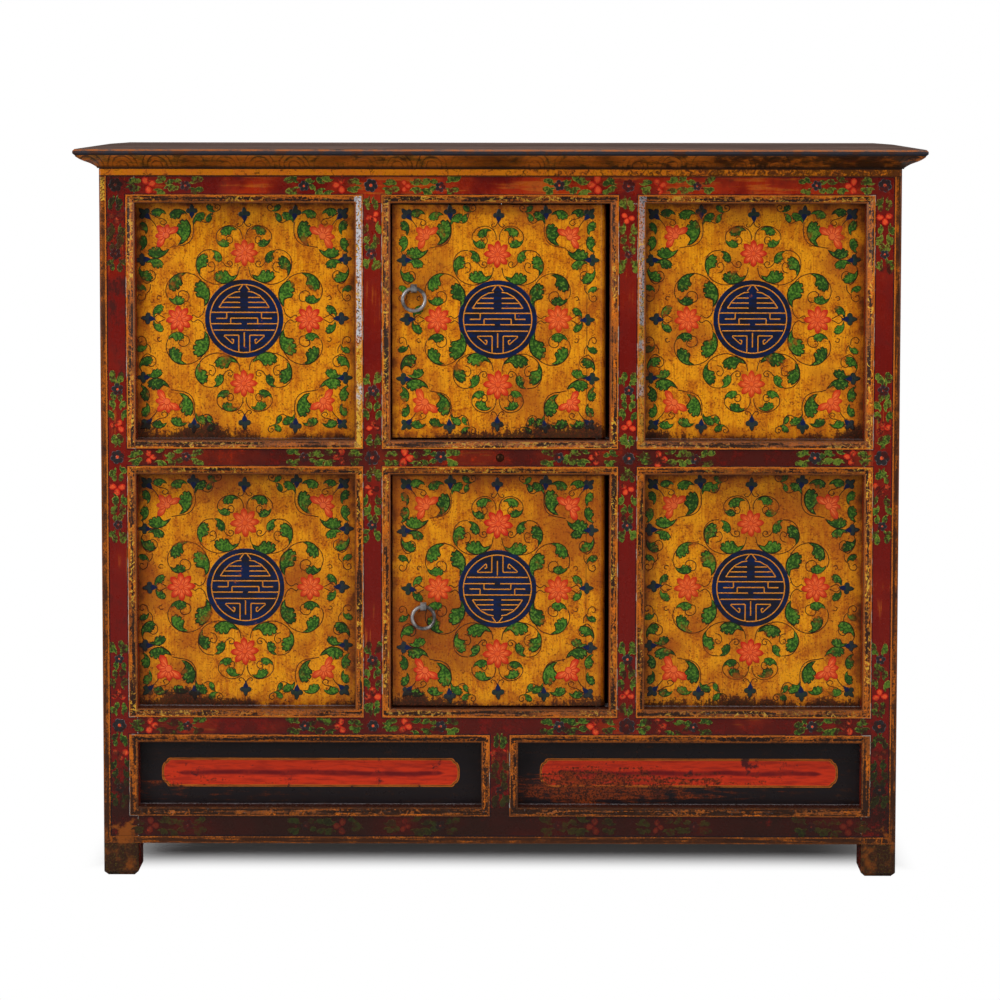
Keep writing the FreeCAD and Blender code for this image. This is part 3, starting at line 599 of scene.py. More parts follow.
def border_coat(tree, c, age, plan, line, ground):
    """Outer borders: a bead's ground, orange towards the upper left, patched with brown and black dirt, with
    gold left at the head of the left post."""
    orange = add(tree, RANGE, {0: plan.x, 1: -HALF_WIDTH, 2: HALF_WIDTH, 3: 0.65, 4: 0.05})
    high = add(tree, RANGE, {0: plan.z, 1: LOWER_ROW[0], 2: UPPER_ROW[1], 3: 0.1, 4: 1.0})
    head = add(tree, MATH, {0: plan.z, 1: CARCASS_TOP - GILT_BELOW, 2: GILT_HALF}, operation="COMPARE")
    on_left = add(tree, MATH, {0: plan.x, 1: 0.0}, operation="LESS_THAN")
    kept = add(tree, RANGE, {0: age.speck, 1: 0.58, 2: 0.46, 4: 0.9}, **SMOOTH)
    return coated(tree, ground, ((orange, high), line), (age.chip, 0.44, 0.6, 0.8, c.bead),
                  (age.fleck, 0.5, 0.6, 0.75, c.grime), (0.4, c.bead),
                  ((head, on_left, kept), c.fleck))


def bead_scroll(tree, c, age, plan, across, floor, ground):
    """Beads: what is left of a gold scroll on their ground, orange on the base; those on the outer sides of
    the upper muntins keep silver leaf, pale also as a painted sheen, more of it on the left and yellowed
    towards the foot."""
    gold = add(tree, RANGE, {0: age.fleck, 1: 0.55, 2: 0.59}, **SMOOTH)
    left = add(tree, MATH, {0: floor, 1: -0.5, 2: age.blotch}, operation="MULTIPLY_ADD")
    left = add(tree, RANGE, {0: left, 1: 0.42, 2: 0.58}, **SMOOTH)
    low = add(tree, MATH, {0: plan.z, 1: BASE_ROW[1] + BEAD_WIDTH}, operation="LESS_THAN")
    gilding = add(tree, MIX, {0: low, 6: c.fleck, 7: c.line}, **RGBA)
    half = BEAD_WIDTH / 2
    # Silver leaf on these beads, pale and more of it on the left: partly a painted sheen where light catches
    # them
    silver = add(tree, MATH, {0: across, 1: MUNTIN_X[1] - half, 2: half}, operation="COMPARE")
    above = add(tree, MATH, {0: plan.z, 1: UPPER_ROW[0] - BEAD_WIDTH}, operation="GREATER_THAN")
    peeled = add(tree, MATH, {0: age.fleck, 1: age.speck}, operation="ADD")
    peeled = add(tree, RANGE, {0: peeled, 1: 1.1, 2: 0.98}, **SMOOTH)
    kept = add(tree, RANGE, {0: plan.x, 1: -1.0, 2: 1.0, 3: 1.0, 4: 0.45})
    pale = add(tree, RANGE, {0: plan.z, 1: UPPER_ROW[0], 2: UPPER_ROW[1], 3: -0.12, 4: 0.3})
    pale = add(tree, MATH, {0: age.chip, 1: pale}, operation="ADD")
    leaf = coated(tree, c.fleck, (pale, 0.46, 0.62, 1.0, c.silver))
    return coated(tree, ground, ((gold, left, 0.95), gilding),
                  ((silver, above, peeled, kept), leaf))


def fillet_coat(tree, c, age, plan):
    """Fillet below the cornice: orange between dark lines, stained in curls and browner towards the right."""
    warm = add(tree, RANGE, {0: age.chip, 1: 0.4, 2: 0.6})
    stained = add(tree, MATH, {0: age.fleck, 1: age.chip}, operation="ADD")
    browned = add(tree, RANGE, {0: plan.x, 1: -150.0, 2: HALF_WIDTH, 3: 0.0, 4: 0.25})
    browned = add(tree, MATH, {0: age.fleck, 1: browned}, operation="ADD")
    strip = coated(tree, c.ochre_light, (warm, c.orange), (0.6, c.orange),
                   (stained, 1.04, 1.24, 0.7, c.ochre_stain), (browned, 0.54, 0.76, 0.85, c.bead))
    half = TOP_FILLET / 2
    between = add(tree, MATH, {0: plan.z, 1: CARCASS_TOP - half, 2: half - 1.2}, operation="COMPARE")
    return add(tree, MIX, {0: between, 6: c.bead, 7: strip}, **RGBA)


def feet_and_reveals(tree, c, age, plan, across, colour):
    """Feet kicked to brown and mouldy, post ends knocked to the wood above them, and the reveals of the
    openings: red patched with dirt and painted shade, faces that look up darkened with painted shade, and
    dust along the back of each ledge."""
    kicked = coated(tree, c.grime, (age.streak, c.bead), (age.speck, 0.52, 0.68, 0.5, c.moss),
                    (age.chip, 0.5, 0.66, 0.65, c.cove))
    feet = add(tree, MATH, {0: plan.z, 1: FOOT_TOP}, operation="LESS_THAN")
    knocked = add(tree, RANGE, {0: plan.z, 1: FOOT_TOP + KNOCKED[0], 2: FOOT_TOP + KNOCKED[1], 3: 0.06,
                                4: -0.2})
    knocked = add(tree, MATH, {0: knocked, 1: age.chip}, operation="ADD")
    knocked = add(tree, RANGE, {0: knocked, 1: 0.52, 2: 0.64, 4: 0.8}, **SMOOTH)
    post = add(tree, MATH, {0: across, 1: INNER_X}, operation="GREATER_THAN")
    # The reveals: bright red paint patched dark, with dirt and painted shade for the depth of the recess
    reveal = add(tree, MATH, {0: plan.y, 1: FRONT_Y + SLOPE_DEPTH + 0.3}, operation="GREATER_THAN")
    inner = add(tree, MIX, {0: age.chip, 6: c.grime, 7: c.red_bright}, **RGBA)
    # Faces that look up are darkened: painted shade that holds down the top light on them
    normal = add(tree, "ShaderNodeTexCoord", out="Normal")
    up = add(tree, "ShaderNodeSeparateXYZ", {0: normal}, out="Z")
    ledge = add(tree, RANGE, {0: up, 1: 0.1, 2: 0.8, 4: 0.92}, **SMOOTH)
    dusty = add(tree, RANGE, {0: plan.y, 1: PANEL_Y - DUST[0], 2: PANEL_Y - DUST[1], 3: -0.15, 4: 0.2})
    dusty = add(tree, MATH, {0: dusty, 1: age.speck}, operation="ADD")
    dusty = add(tree, RANGE, {0: dusty, 1: 0.5, 2: 0.64}, **SMOOTH)
    return coated(tree, colour, ((knocked, post), c.cove), (feet, kicked), (reveal, inner),
                  (ledge, c.grime), ((dusty, ledge), c.dust))


def frame_lacquer(c, name, stretch, soil, fresh_share, arris_coat):
    """Front frame: oxblood paint brushed along each member under varnish, browner towards the floor. Beads
    and outer borders are brown-black between orange lines, with what is left of gold and silver leaf; the
    silver is also pale as a painted sheen, and painted shadow lies along the edge of each opening. Hands
    have worn the arrises and the joints to the chalk, which is also a painted highlight on those edges."""
    paint, tree, age, plan = begin_finish(name, stretch)
    edge, border = plan.edge, plan.border
    across = add(tree, MATH, {0: plan.x}, operation="ABSOLUTE")
    floor, bias = dirt_bias(tree, plan)
    red = coated(tree, c.red_dark, (age.streak, c.red), (0.5, c.red))
    colour = red_fields(tree, c, age, plan, red, bias, soil, fresh_share)
    colour = frame_joints(tree, c, age, plan, across, colour)
    line, ground = bead_ground(tree, c, age, floor)
    outer = border_coat(tree, c, age, plan, line, ground)
    scroll = bead_scroll(tree, c, age, plan, across, floor, ground)
    # The last millimetre before each opening is painted shadow, nearly black over the orange line
    dim, painted_edge_shadow = (coated(tree, line, (share, c.grime)) for share in (0.3, 0.75))
    for distance, reach, coat in (
            (border, BORDER, line), (border, BORDER - 1.7, outer), (border, 1.4, dim),
            (edge, BEAD_WIDTH, line), (edge, BEAD_WIDTH - 1.6, scroll), (edge, 2.4, dim), (edge, 1.0, painted_edge_shadow)):
        near = add(tree, MATH, {0: distance, 1: reach}, operation="LESS_THAN")
        colour = coated(tree, colour, (near, coat))
    # The outer arrises of the beads, rubbed pale: wear to the chalk, and a painted highlight along these
    # edges
    rub = add(tree, RANGE, {0: age.chip, 1: 0.46, 2: 0.6, 4: 0.7}, **SMOOTH)
    arris = add(tree, MATH, {0: edge, 1: BEAD_WIDTH, 2: 0.5}, operation="COMPARE")
    crest = add(tree, MATH, {0: plan.z, 1: CARCASS_TOP - TOP_FILLET + 0.2}, operation="GREATER_THAN")
    colour = coated(tree, colour, ((arris, rub), arris_coat),
                    (crest, fillet_coat(tree, c, age, plan)))
    colour = feet_and_reveals(tree, c, age, plan, across, colour)
    flank = add(tree, MATH, {0: across, 1: HALF_WIDTH - 0.3}, operation="GREATER_THAN")
    gloss = add(tree, RANGE, {0: age.chip, 1: 0.35, 2: 0.65, 3: 0.2, 4: 0.36})
    return end_finish(paint, coated(tree, colour, (flank, red)), gloss, age.streak, 0.3)


def side_lacquer(c, name, stretch):
    """Sides: one coat of oxblood paint without ornament, dull and thin along the grain, scuffed to the wood
    and soiled towards the floor."""
    paint, tree, age, plan = begin_finish(name, stretch)
    low = add(tree, RANGE, {0: plan.z, 1: SIDE_DIRT[0], 2: SIDE_DIRT[1], 3: 0.0, 4: 0.2})
    dirt = add(tree, MATH, {0: age.chip, 1: low}, operation="ADD")
    colour = coated(tree, c.red_dark, (age.streak, c.red), (age.blotch, 0.48, 0.68, 0.3, c.red_bright),
                    ((age.streak, age.chip), 0.3, 0.38, 0.6, c.cove), (dirt, 0.54, 0.76, 0.8, c.grime))
    gloss = add(tree, RANGE, {0: age.chip, 1: 0.35, 2: 0.65, 3: 0.4, 4: 0.58})
    return end_finish(paint, colour, gloss, age.streak, 0.4, Specular_IOR_Level=0.14)


def scraped(tree, c, age, plan, colour):
    """Scrapes the base panels along the grain to rubbed wood and dark dirt, low down: a little under the left
    cartouche, and much of the near end of the right one."""
    right = add(tree, RANGE, {0: plan.x, 1: SCRAPED_RIGHT[0], 2: SCRAPED_RIGHT[1], 3: 0.36, 4: -0.24})
    inside = add(tree, RANGE, {0: plan.x, 1: SCRAPED_NEAR[0], 2: SCRAPED_NEAR[1], 3: -0.25, 4: 0.0})
    right = add(tree, MATH, {0: right, 1: inside}, operation="ADD")
    left = add(tree, RANGE, {0: plan.x, 1: SCRAPED_LEFT[0], 2: SCRAPED_LEFT[1], 3: 0.0, 4: -0.3})
    on_left = add(tree, MATH, {0: plan.x, 1: 0.0}, operation="LESS_THAN")
    near = add(tree, MIX, {0: on_left, 2: right, 3: left})
    ragged = weighed(tree, -30.0, (age.chip, 60.0), (plan.sill, 1.0))
    low = add(tree, RANGE, {0: ragged, 1: SCRAPED_TOP[0], 2: SCRAPED_TOP[1], 3: 0.0, 4: -0.6})
    foot = add(tree, RANGE, {0: plan.sill, 1: 0.0, 2: 10.0, 3: -0.25, 4: 0.0})
    rough = weighed(tree, age.chip, (age.streak, 1.6), (age.speck, 0.8), (near, 1.0), (low, 1.0), (foot, 1.0))
    ground = coated(tree, c.rubbed, (age.speck, 0.42, 0.6, 0.9, c.grime))
    return coated(tree, colour, (rough, 1.66, 1.98, 0.95, ground))


def lamp_black(c):
    """Base panels: lamp black in oil on a flat board, scraped along the grain to brown at the foot."""
    paint, tree, age, plan = begin_finish("lamp_black_brushed", (0.12, 1.0, 1.0))
    scratch = add(tree, MATH, {0: age.streak, 1: age.fleck}, operation="ADD")
    colour = coated(tree, c.black, (age.streak, c.grime), (scratch, 1.1, 1.3, 0.6, c.bead))
    gloss = add(tree, RANGE, {0: age.chip, 1: 0.35, 2: 0.65, 3: 0.24, 4: 0.4})
    return end_finish(paint, scraped(tree, c, age, plan, colour), gloss, age.streak, 0.3)


def cartouche_red(c):
    """Cartouches: red oxide over black, a dark stroke along the middle and a double ochre outline, worn away
    with the ground at the near end of the right one."""
    paint, tree, age, plan = begin_finish("red_oxide_brushed", (0.12, 1.0, 1.0))
    motif = motif_marks(tree)
    brushed = add(tree, RANGE, {0: age.streak, 1: 0.36, 2: 0.54, 3: 0.5, 4: 1.0})
    middle = weighed(tree, -0.22, (age.blotch, 0.5), (motif.side, 1.0))
    middle = add(tree, MATH, {0: middle}, operation="ABSOLUTE")
    reach = add(tree, MATH, {0: motif.along}, operation="ABSOLUTE")
    reach = add(tree, RANGE, {0: reach, 1: 0.94, 2: 0.84, 3: -0.12, 4: 0.17}, **SMOOTH)
    stroke = add(tree, MATH, {0: reach, 1: middle}, operation="SUBTRACT")
    stroke = add(tree, RANGE, {0: stroke, 1: -0.09, 2: 0.1}, **SMOOTH)
    dry = add(tree, RANGE, {0: age.chip, 1: 0.64, 2: 0.46, 3: 0.7, 4: 0.95}, **SMOOTH)
    colour = coated(tree, c.streak, (brushed, c.cartouche), ((stroke, dry), c.streak))
    outline = coated(tree, c.line, (age.streak, 0.46, 0.62, 0.8, c.cove))
    for level, coat in ((0.3, c.bead), (0.8, outline)):
        past = add(tree, MATH, {0: motif.tone, 1: level}, operation="GREATER_THAN")
        colour = coated(tree, colour, (past, coat))
    colour = coated(tree, colour, (age.chip, 0.6, 0.68, 0.85, c.black))
    return end_finish(paint, scraped(tree, c, age, plan, colour), 0.28, age.streak, 0.25)


def spray_paint(c):
    """Sprays on the red frame: green leaves edged in light green, olive where the varnish is thick near the
    top, with coral petals and slate flowers; worn away with the red and buried in the same dirt."""
    paint, tree, age, plan = begin_finish("spray_colours_brushed")
    motif = motif_marks(tree)
    high = add(tree, RANGE, {0: plan.z, 1: LOWER_ROW[0], 2: UPPER_ROW[1], 3: 0.3, 4: 0.75})
    dab = add(tree, MATH, {0: motif.shade, 1: 0.16, 2: age.speck}, operation="MULTIPLY_ADD")
    edge = add(tree, RANGE, {0: motif.rim, 1: 0.2, 2: 0.7}, **SMOOTH)
    ragged = add(tree, RANGE, {0: age.speck, 1: 0.6, 2: 0.42, 4: 0.9}, **SMOOTH)
    edge = add(tree, MATH, {0: edge, 1: ragged}, operation="MULTIPLY")
    colour = coated(tree, c.leaf, (high, c.spray_leaf), (dab, 0.48, 0.64, 0.9, c.leaf_dark),
                    (edge, c.edge_light))
    dark = coated(tree, c.bud, (age.speck, c.grime), (edge, c.dust))
    coral = coated(tree, c.spray_red, (motif.rim, 0.1, 0.6, 0.9, c.petal_tip))
    for level, coat in ((0.2, coral), (0.45, dark), (0.7, c.spray_red)):
        past = add(tree, MATH, {0: motif.tone, 1: level}, operation="GREATER_THAN")
        colour = coated(tree, colour, (past, coat))
    bare = add(tree, MATH, {0: age.speck, 1: 0.5, 2: age.chip}, operation="MULTIPLY_ADD")
    lower = add(tree, RANGE, {0: plan.z, 1: UPPER_ROW[1], 2: LOWER_ROW[1], 3: -0.12, 4: -0.04})
    soiled = weighed(tree, age.chip, (dirt_bias(tree, plan)[1], 1.8), (lower, 1.0), (age.speck, 0.3))
    colour = coated(tree, colour, (bare, 0.74, 0.9, 0.85, c.red),
                    (soiled, 0.54, 0.74, 0.85, old_dirt(tree, c, age)))
    return end_finish(paint, colour, 0.3, age.speck, 0.2)


def cornice_brown(c):
    """Cornice: a band of scallops in dark lines, with olive between them, all but lost under brown oxide and
    smoke; black at the right-hand end, and darker along its foot."""
    paint, tree, age, plan = begin_finish("brown_oxide_worn", (0.06, 1.0, 1.0))
    normal = add(tree, "ShaderNodeTexCoord", out="Normal")
    side = add(tree, "ShaderNodeSeparateXYZ", {0: normal}, out="X")
    side = add(tree, MATH, {0: side}, operation="ABSOLUTE")
    side = add(tree, MATH, {0: side, 1: 0.3}, operation="GREATER_THAN")
    along = add(tree, MIX, {0: side, 2: plan.x, 3: plan.y})
    along = add(tree, MATH, {0: along, 1: -SCALLOP, 2: SCALLOP}, operation="WRAP")
    height = add(tree, MATH, {0: plan.z, 1: CARCASS_TOP + 3.0}, operation="SUBTRACT")
    reach = weighed(tree, 0.0, (along, along), (height, height))
    reach = add(tree, MATH, {0: reach}, operation="SQRT")
    reach = add(tree, MATH, {0: age.chip, 1: 8.0, 2: reach}, operation="MULTIPLY_ADD")
    shown = add(tree, MIX, {0: 0.4, 2: age.blotch, 3: age.chip})
    shown = add(tree, RANGE, {0: shown, 1: 0.42, 2: 0.6, 3: 0.06, 4: 0.75}, **SMOOTH)
    olive = add(tree, MATH, {0: reach, 1: 14.0}, operation="GREATER_THAN")
    thin = add(tree, RANGE, {0: age.chip, 1: 0.44, 2: 0.6, 4: 0.8}, **SMOOTH)
    colour = coated(tree, c.bead, (age.streak, c.cove), (age.blotch, 0.34, 0.56, 0.9, c.line),
                    ((olive, shown, thin), c.moss))
    for radius in SCALLOP_LINES:
        line = add(tree, MATH, {0: reach, 1: radius, 2: 0.9}, operation="COMPARE")
        colour = coated(tree, colour, ((line, shown), c.grime))
    end = add(tree, RANGE, {0: plan.x, 1: 0.0, 2: HALF_WIDTH, 3: 0.0, 4: 0.2})
    end = add(tree, MATH, {0: age.chip, 1: end}, operation="ADD")
    colour = coated(tree, colour, (age.fleck, 0.56, 0.64, 0.6, c.bead), (end, 0.54, 0.7, 0.85, c.grime),
                    (plan.z, CARCASS_TOP + 5.0, CARCASS_TOP + 0.8, 0.9, c.grime))
    return end_finish(paint, colour, 0.28, age.streak, 0.3)


def top_varnish(c):
    """Top: darkened varnish over boards along the cabinet, each of its own tone, dry and dusty in streaks;
    its edge is blue-black paint below a lip worn to orange wood, which is also a painted highlight along
    the arris."""
    paint, tree, age, plan = begin_finish("dark_varnish_worn", (0.012, 1.0, 1.0))
    top = CAD_BOX[1].z / MM
    grain = add(tree, MATH, {0: age.fleck, 1: 0.2, 2: age.streak}, operation="MULTIPLY_ADD")
    for board, tone in (("top_front_board", 0.05), ("top_middle_board", -0.09)):
        ahead = add(tree, MATH, {0: plan.y, 1: span(board, Y_AXIS)[1]}, operation="LESS_THAN")
        grain = add(tree, MATH, {0: ahead, 1: tone, 2: grain}, operation="MULTIPLY_ADD")
    pale = add(tree, RANGE, {0: grain, 1: 0.4, 2: 0.8})
    edge = coated(tree, c.top_edge, (age.chip, 0.5, 0.6, 0.8, c.bead))
    # The lip: worn to orange wood, and a painted highlight along the front arris of the top
    lip = add(tree, MATH, {0: plan.z, 1: top - LIP_BELOW, 2: LIP_HALF}, operation="COMPARE")
    rub = add(tree, RANGE, {0: age.chip, 1: 0.36, 2: 0.56, 4: 0.7}, **SMOOTH)
    colour = coated(tree, c.top, (pale, c.top_pale), (grain, 0.58, 0.42, 0.6, c.grime),
                    (age.blotch, 0.46, 0.66, 0.5, c.top), (age.chip, 0.58, 0.68, 0.45, c.bead),
                    (plan.z, top - PAINTED_EDGE[0], top - PAINTED_EDGE[1], 1.0, edge), ((lip, rub), c.cove))
    return end_finish(paint, colour, 0.62, age.streak, 0.5)


def plain_softwood(c, name, stretch, board=0.0):
    """Back and inside: softwood planed by hand and never painted, browned by smoke; the grain stands proud,
    and where boards of one width are named each has its own tone."""
    paint, tree, age, plan = begin_finish(name, stretch)
    grain = age.streak
    if board:
        number = add(tree, MATH, {0: plan.x, 1: board}, operation="DIVIDE")
        number = add(tree, MATH, {0: number}, operation="FLOOR")
        tone = add(tree, "ShaderNodeTexWhiteNoise", {1: number}, noise_dimensions="1D")
        tone = add(tree, MATH, {0: tone, 1: 0.2, 2: -0.08}, operation="MULTIPLY_ADD")
        grain = add(tree, MATH, {0: grain, 1: tone}, operation="ADD")
    grain = add(tree, RANGE, {0: grain, 1: 0.3, 2: 0.7})
    smoke = add(tree, MATH, {0: age.blotch, 1: age.chip}, operation="ADD")
    colour = coated(tree, c.wood_dark, (grain, c.wood), (smoke, 1.0, 1.24, 0.7, c.wood_dark),
                    ((age.streak, age.fleck), 0.3, 0.38, 0.5, c.grime))
    return end_finish(paint, colour, 0.68, age.streak, 0.6)


def forged_iron(c, name, bright):
    """Iron: forged by hand, bright where hands rub it, with dark scale in the hollows."""
    paint, tree, age, _ = begin_finish(name)
    scale = add(tree, RANGE, {0: age.chip, 1: 0.46, 2: 0.64, 3: 0.05, 4: 0.8}, **SMOOTH)
    gloss = add(tree, RANGE, {0: scale, 3: 0.32, 4: 0.5})
    return end_finish(paint, coated(tree, bright, (scale, c.rust)), gloss, age.chip, 0.15, Metallic=0.8)


def studio_paper():
    """Floor: white paper, pure white to the camera but for the dark under the cabinet, grey otherwise."""
    paper = bpy.data.materials.new("white_paper_matt")
    paper.use_nodes = True
    tree = paper.node_tree
    tree.nodes.clear()
    coords = add(tree, "ShaderNodeTexCoord", out="Object")
    x, y, _ = add(tree, "ShaderNodeSeparateXYZ", {0: coords}, out=None)
    clear = []
    for value, low, high, dark, white in ((x, -HALF_WIDTH, HALF_WIDTH, -40.0, 40.0),
                                          (y, FRONT_Y, CAD_BOX[1].y / MM, -150.0, -25.0)):
        off = add(tree, MATH, {0: value, 1: (low + high) / 2 * MM}, operation="SUBTRACT")
        off = add(tree, MATH, {0: off}, operation="ABSOLUTE")
        off = add(tree, MATH, {0: off, 1: (high - low) / 2 * MM}, operation="SUBTRACT")
        clear.append(add(tree, RANGE, {0: off, 1: dark * MM, 2: white * MM, 3: 0.02}, **SMOOTH))
    plain = add(tree, MATH, {0: clear[0], 1: clear[1]}, operation="MAXIMUM")
    direct = add(tree, "ShaderNodeLightPath", out="Is Camera Ray")
    shade = add(tree, MIX, {0: direct, 6: (0.3, 0.3, 0.3, 1.0), 7: (0.95, 0.95, 0.95, 1.0)}, **RGBA)
    matt = add(tree, "ShaderNodeBsdfDiffuse", {0: shade})
    white = add(tree, "ShaderNodeEmission", {0: (1.0, 1.0, 1.0, 1.0), 1: 1.0})
    seen = add(tree, MATH, {0: plain, 1: direct}, operation="MULTIPLY")
    mixed = add(tree, "ShaderNodeMixShader", {0: seen, 1: matt, 2: white})
    add(tree, "ShaderNodeOutputMaterial", {0: mixed}, out=None)
    return paper


def dress(names, material):
    """Gives CAD nodes a finish in the place of the plain one they were loaded with."""
    for name in names:
        slots = frame["nodes"][name].data.materials
        if not slots:
            slots.append(material)
        for index in range(len(slots)):
            slots[index] = material


def rounded(points, steps):
    """A closed smooth outline through points."""
    outline = []
    count = len(points)
    for index in range(count):
        a, b, c, d = (points[(index + shift) % count] for shift in (-1, 0, 1, 2))
        for step in range(steps):
            t = step / steps
            outline.append(tuple(
                0.5 * (2 * b[k] + (c[k] - a[k]) * t + (2 * a[k] - 5 * b[k] + 4 * c[k] - d[k]) * t ** 2
                       + (3 * b[k] - a[k] - 3 * c[k] + d[k]) * t ** 3) for k in (0, 1)))
    return outline


def turned(points, angle, scale=1.0):
    """Points of an outline turned and scaled in the plane."""
    cos, sin = math.cos(angle) * scale, math.sin(angle) * scale
    return [(x * cos - z * sin, x * sin + z * cos) for x, z in points]


class Stamp:
    """A painted motif as thin closed solids in the XZ plane that face -Y, with marks for its paint."""

    def __init__(self, name):
        self.name = name
        self.points, self.faces, self.rim, self.spot = [], [], [], []

    def shape(self, outline, spots, tone, relief, inset, outset=0.0, sunk=0.3 * MM):
        """One closed shape: a raised face with a rim, a wall down into the ground, and a floor. The rim runs
        from outside the outline to inside it."""
        count = len(outline)
        area = sum(a[0] * b[1] - b[0] * a[1] for a, b in zip(outline, outline[1:] + outline[:1]))
        if area < 0:
            outline, spots = outline[::-1], spots[::-1]
        inner, outer = [], []
        for index, (x, z) in enumerate(outline):
            before, after = outline[index - 1], outline[(index + 1) % count]
            dx, dz = after[0] - before[0], after[1] - before[1]
            reach = math.hypot(dx, dz) or 1.0
            for loop, by in ((inner, inset), (outer, -outset)):
                loop.append((x - dz / reach * by, z + dx / reach * by))
        start = len(self.points)
        for loop, depth, edge in ((outer, sunk, 1.0), (outer, -0.6 * relief, 1.0), (inner, -relief, 0.0)):
            self.points += [(x, depth, z) for x, z in loop]
            self.rim += [edge] * count
            self.spot += [(*spot, tone) for spot in spots]
        for ring in (0, 1):
            low, high = start + ring * count, start + (ring + 1) * count
            for index in range(count):
                after = (index + 1) % count
                self.faces.append((low + index, low + after, high + after, high + index))
        self.faces.append(tuple(start + 2 * count + index for index in range(count)))
        self.faces.append(tuple(start + index for index in reversed(range(count))))

    def mesh(self):
        """The motif as a mesh with its paint marks."""
        mesh = bpy.data.meshes.new(self.name)
        mesh.from_pydata(self.points, [], self.faces)
        rim = mesh.attributes.new("rim", "FLOAT", "POINT")
        rim.data.foreach_set("value", self.rim)
        spot = mesh.attributes.new("spot", "FLOAT_VECTOR", "POINT")
        spot.data.foreach_set("vector", [value for item in self.spot for value in item])
        return mesh


# A leaf from the tip of its horn at 0 to its end at 1: full and smooth along the tendril, with round lobes
# along the other edge
LEAF = ((0.0, 0.0), (0.10, -0.13), (0.25, -0.23), (0.45, -0.29), (0.65, -0.29), (0.84, -0.21), (0.97, -0.09),
        (1.03, 0.02), (0.95, 0.07), (0.98, 0.17), (0.88, 0.22), (0.80, 0.13), (0.78, 0.25), (0.66, 0.27),
        (0.59, 0.15), (0.54, 0.25), (0.43, 0.22), (0.37, 0.06), (0.27, -0.06), (0.13, -0.05))
PETAL = ((0.10, 0.0), (0.36, -0.14), (0.62, -0.21), (0.82, -0.17), (0.94, -0.07), (1.0, 0.0), (0.94, 0.07),
         (0.82, 0.17), (0.62, 0.21), (0.36, 0.14))


def disc(radius, count, centre=(0.0, 0.0)):
    """A circle of points."""
    return [(centre[0] + radius * math.cos(2 * math.pi * k / count),
             centre[1] + radius * math.sin(2 * math.pi * k / count)) for k in range(count)]


def leaf_stamp(name, side, relief):
    """A leaf one metre long, lobed to the left or the right of its stem."""
    stamp = Stamp(name)
    points = [(x, z * side) for x, z in LEAF]
    stamp.shape(points, points, 0.0, relief, 0.03, 0.035)
    return stamp.mesh()


def petals_into(stamp, petals, width, tone, relief):
    """Adds pointed petals round the origin, each with its direction in degrees and its length."""
    flat = [(x, z * width) for x, z in PETAL]
    spots = [(x, z / 0.21 / width) for x, z in flat]
    for order, (angle, length) in enumerate(petals):
        raised = relief * (1 + 0.06 * (order % 3))
        stamp.shape(turned(flat, math.radians(angle), length), spots, tone, raised, 0.08)


def lotus_stamp(name, relief):
    """An open lotus of radius one: eight long petals, eight short ones over them and a heart."""
    stamp = Stamp(name)
    petals_into(stamp, [(45 * k, 1.0) for k in range(8)], 1.12, 1.0, relief)
    petals_into(stamp, [(45 * k + 22.5, 0.6) for k in range(8)], 1.2, 0.15, relief * 1.4)
    stamp.shape(disc(0.22, 10), [(0.3, 0.6)] * 10, 0.0, relief * 1.9, 0.08)
    return stamp.mesh()


def half_lotus_stamp(name, relief):
    """A lotus seen from the side, open towards +X: five broad petals with four short ones over them."""
    stamp = Stamp(name)
    petals_into(stamp, [(-52, 0.9), (52, 0.9), (-100, 1.15), (100, 1.15), (0, 1.05)], 1.15, 0.9, relief)
    petals_into(stamp, [(-78, 0.72), (78, 0.72), (-26, 0.68), (26, 0.68)], 1.1, 0.4, relief * 1.4)
    stamp.shape(disc(0.28, 10), [(0.3, 0.25)] * 10, 0.3, relief * 1.8, 0.08)
    return stamp.mesh()


def bud_stamp(name, relief):
    """A bud of three lobes on a pointed stem, open towards +X."""
    stamp = Stamp(name)
    stem = [(-1.0, 0.0), (-0.45, -0.30), (0.05, -0.42), (0.2, 0.0), (0.05, 0.42), (-0.45, 0.30)]
    stamp.shape(stem, [(0.0, 0.0)] * len(stem), 1.0, relief, 0.05)
    for order, (x, z, radius) in enumerate(((0.05, 0.42, 0.34), (0.05, -0.42, 0.34), (0.22, 0.0, 0.36))):
        stamp.shape(disc(radius, 10, (x, z)), [(0.0, 0.0)] * 10, 0.0, relief * (1.2 + 0.1 * order), 0.07)
    tip = rounded([(0.2, -0.26), (0.62, -0.26), (0.98, 0.0), (0.62, 0.26), (0.2, 0.26)], 2)
    stamp.shape(tip, [(0.0, 0.0)] * len(tip), 0.0, relief * 1.55, 0.07)
    return stamp.mesh()


def triple_stamp(name, relief):
    """A flower of three round petals, two across and one towards +X, on the frame."""
    stamp = Stamp(name)
    petal = rounded([(0.05, 0.0), (0.35, -0.32), (0.75, -0.36), (1.0, 0.0), (0.75, 0.36), (0.35, 0.32)], 2)
    for order, degrees in enumerate((-98, 98, 0)):
        stamp.shape(turned(petal, math.radians(degrees)), petal, 0.3, relief * (1 + 0.1 * order), 0.2)
    return stamp.mesh()


def rosette_stamp(name, relief, petals, heart):
    """A round flower with a dot at its heart."""
    stamp = Stamp(name)
    for k in range(petals):
        angle = 2 * math.pi * k / petals
        centre = (0.58 * math.cos(angle), 0.58 * math.sin(angle))
        stamp.shape(disc(0.42, 10, centre), [(0.0, 0.0)] * 10, 0.55, relief * (1 + 0.1 * k), 0.09)
    stamp.shape(disc(heart, 10), [(0.0, 0.0)] * 10, 0.8, relief * 1.7, 0.06)
    return stamp.mesh()


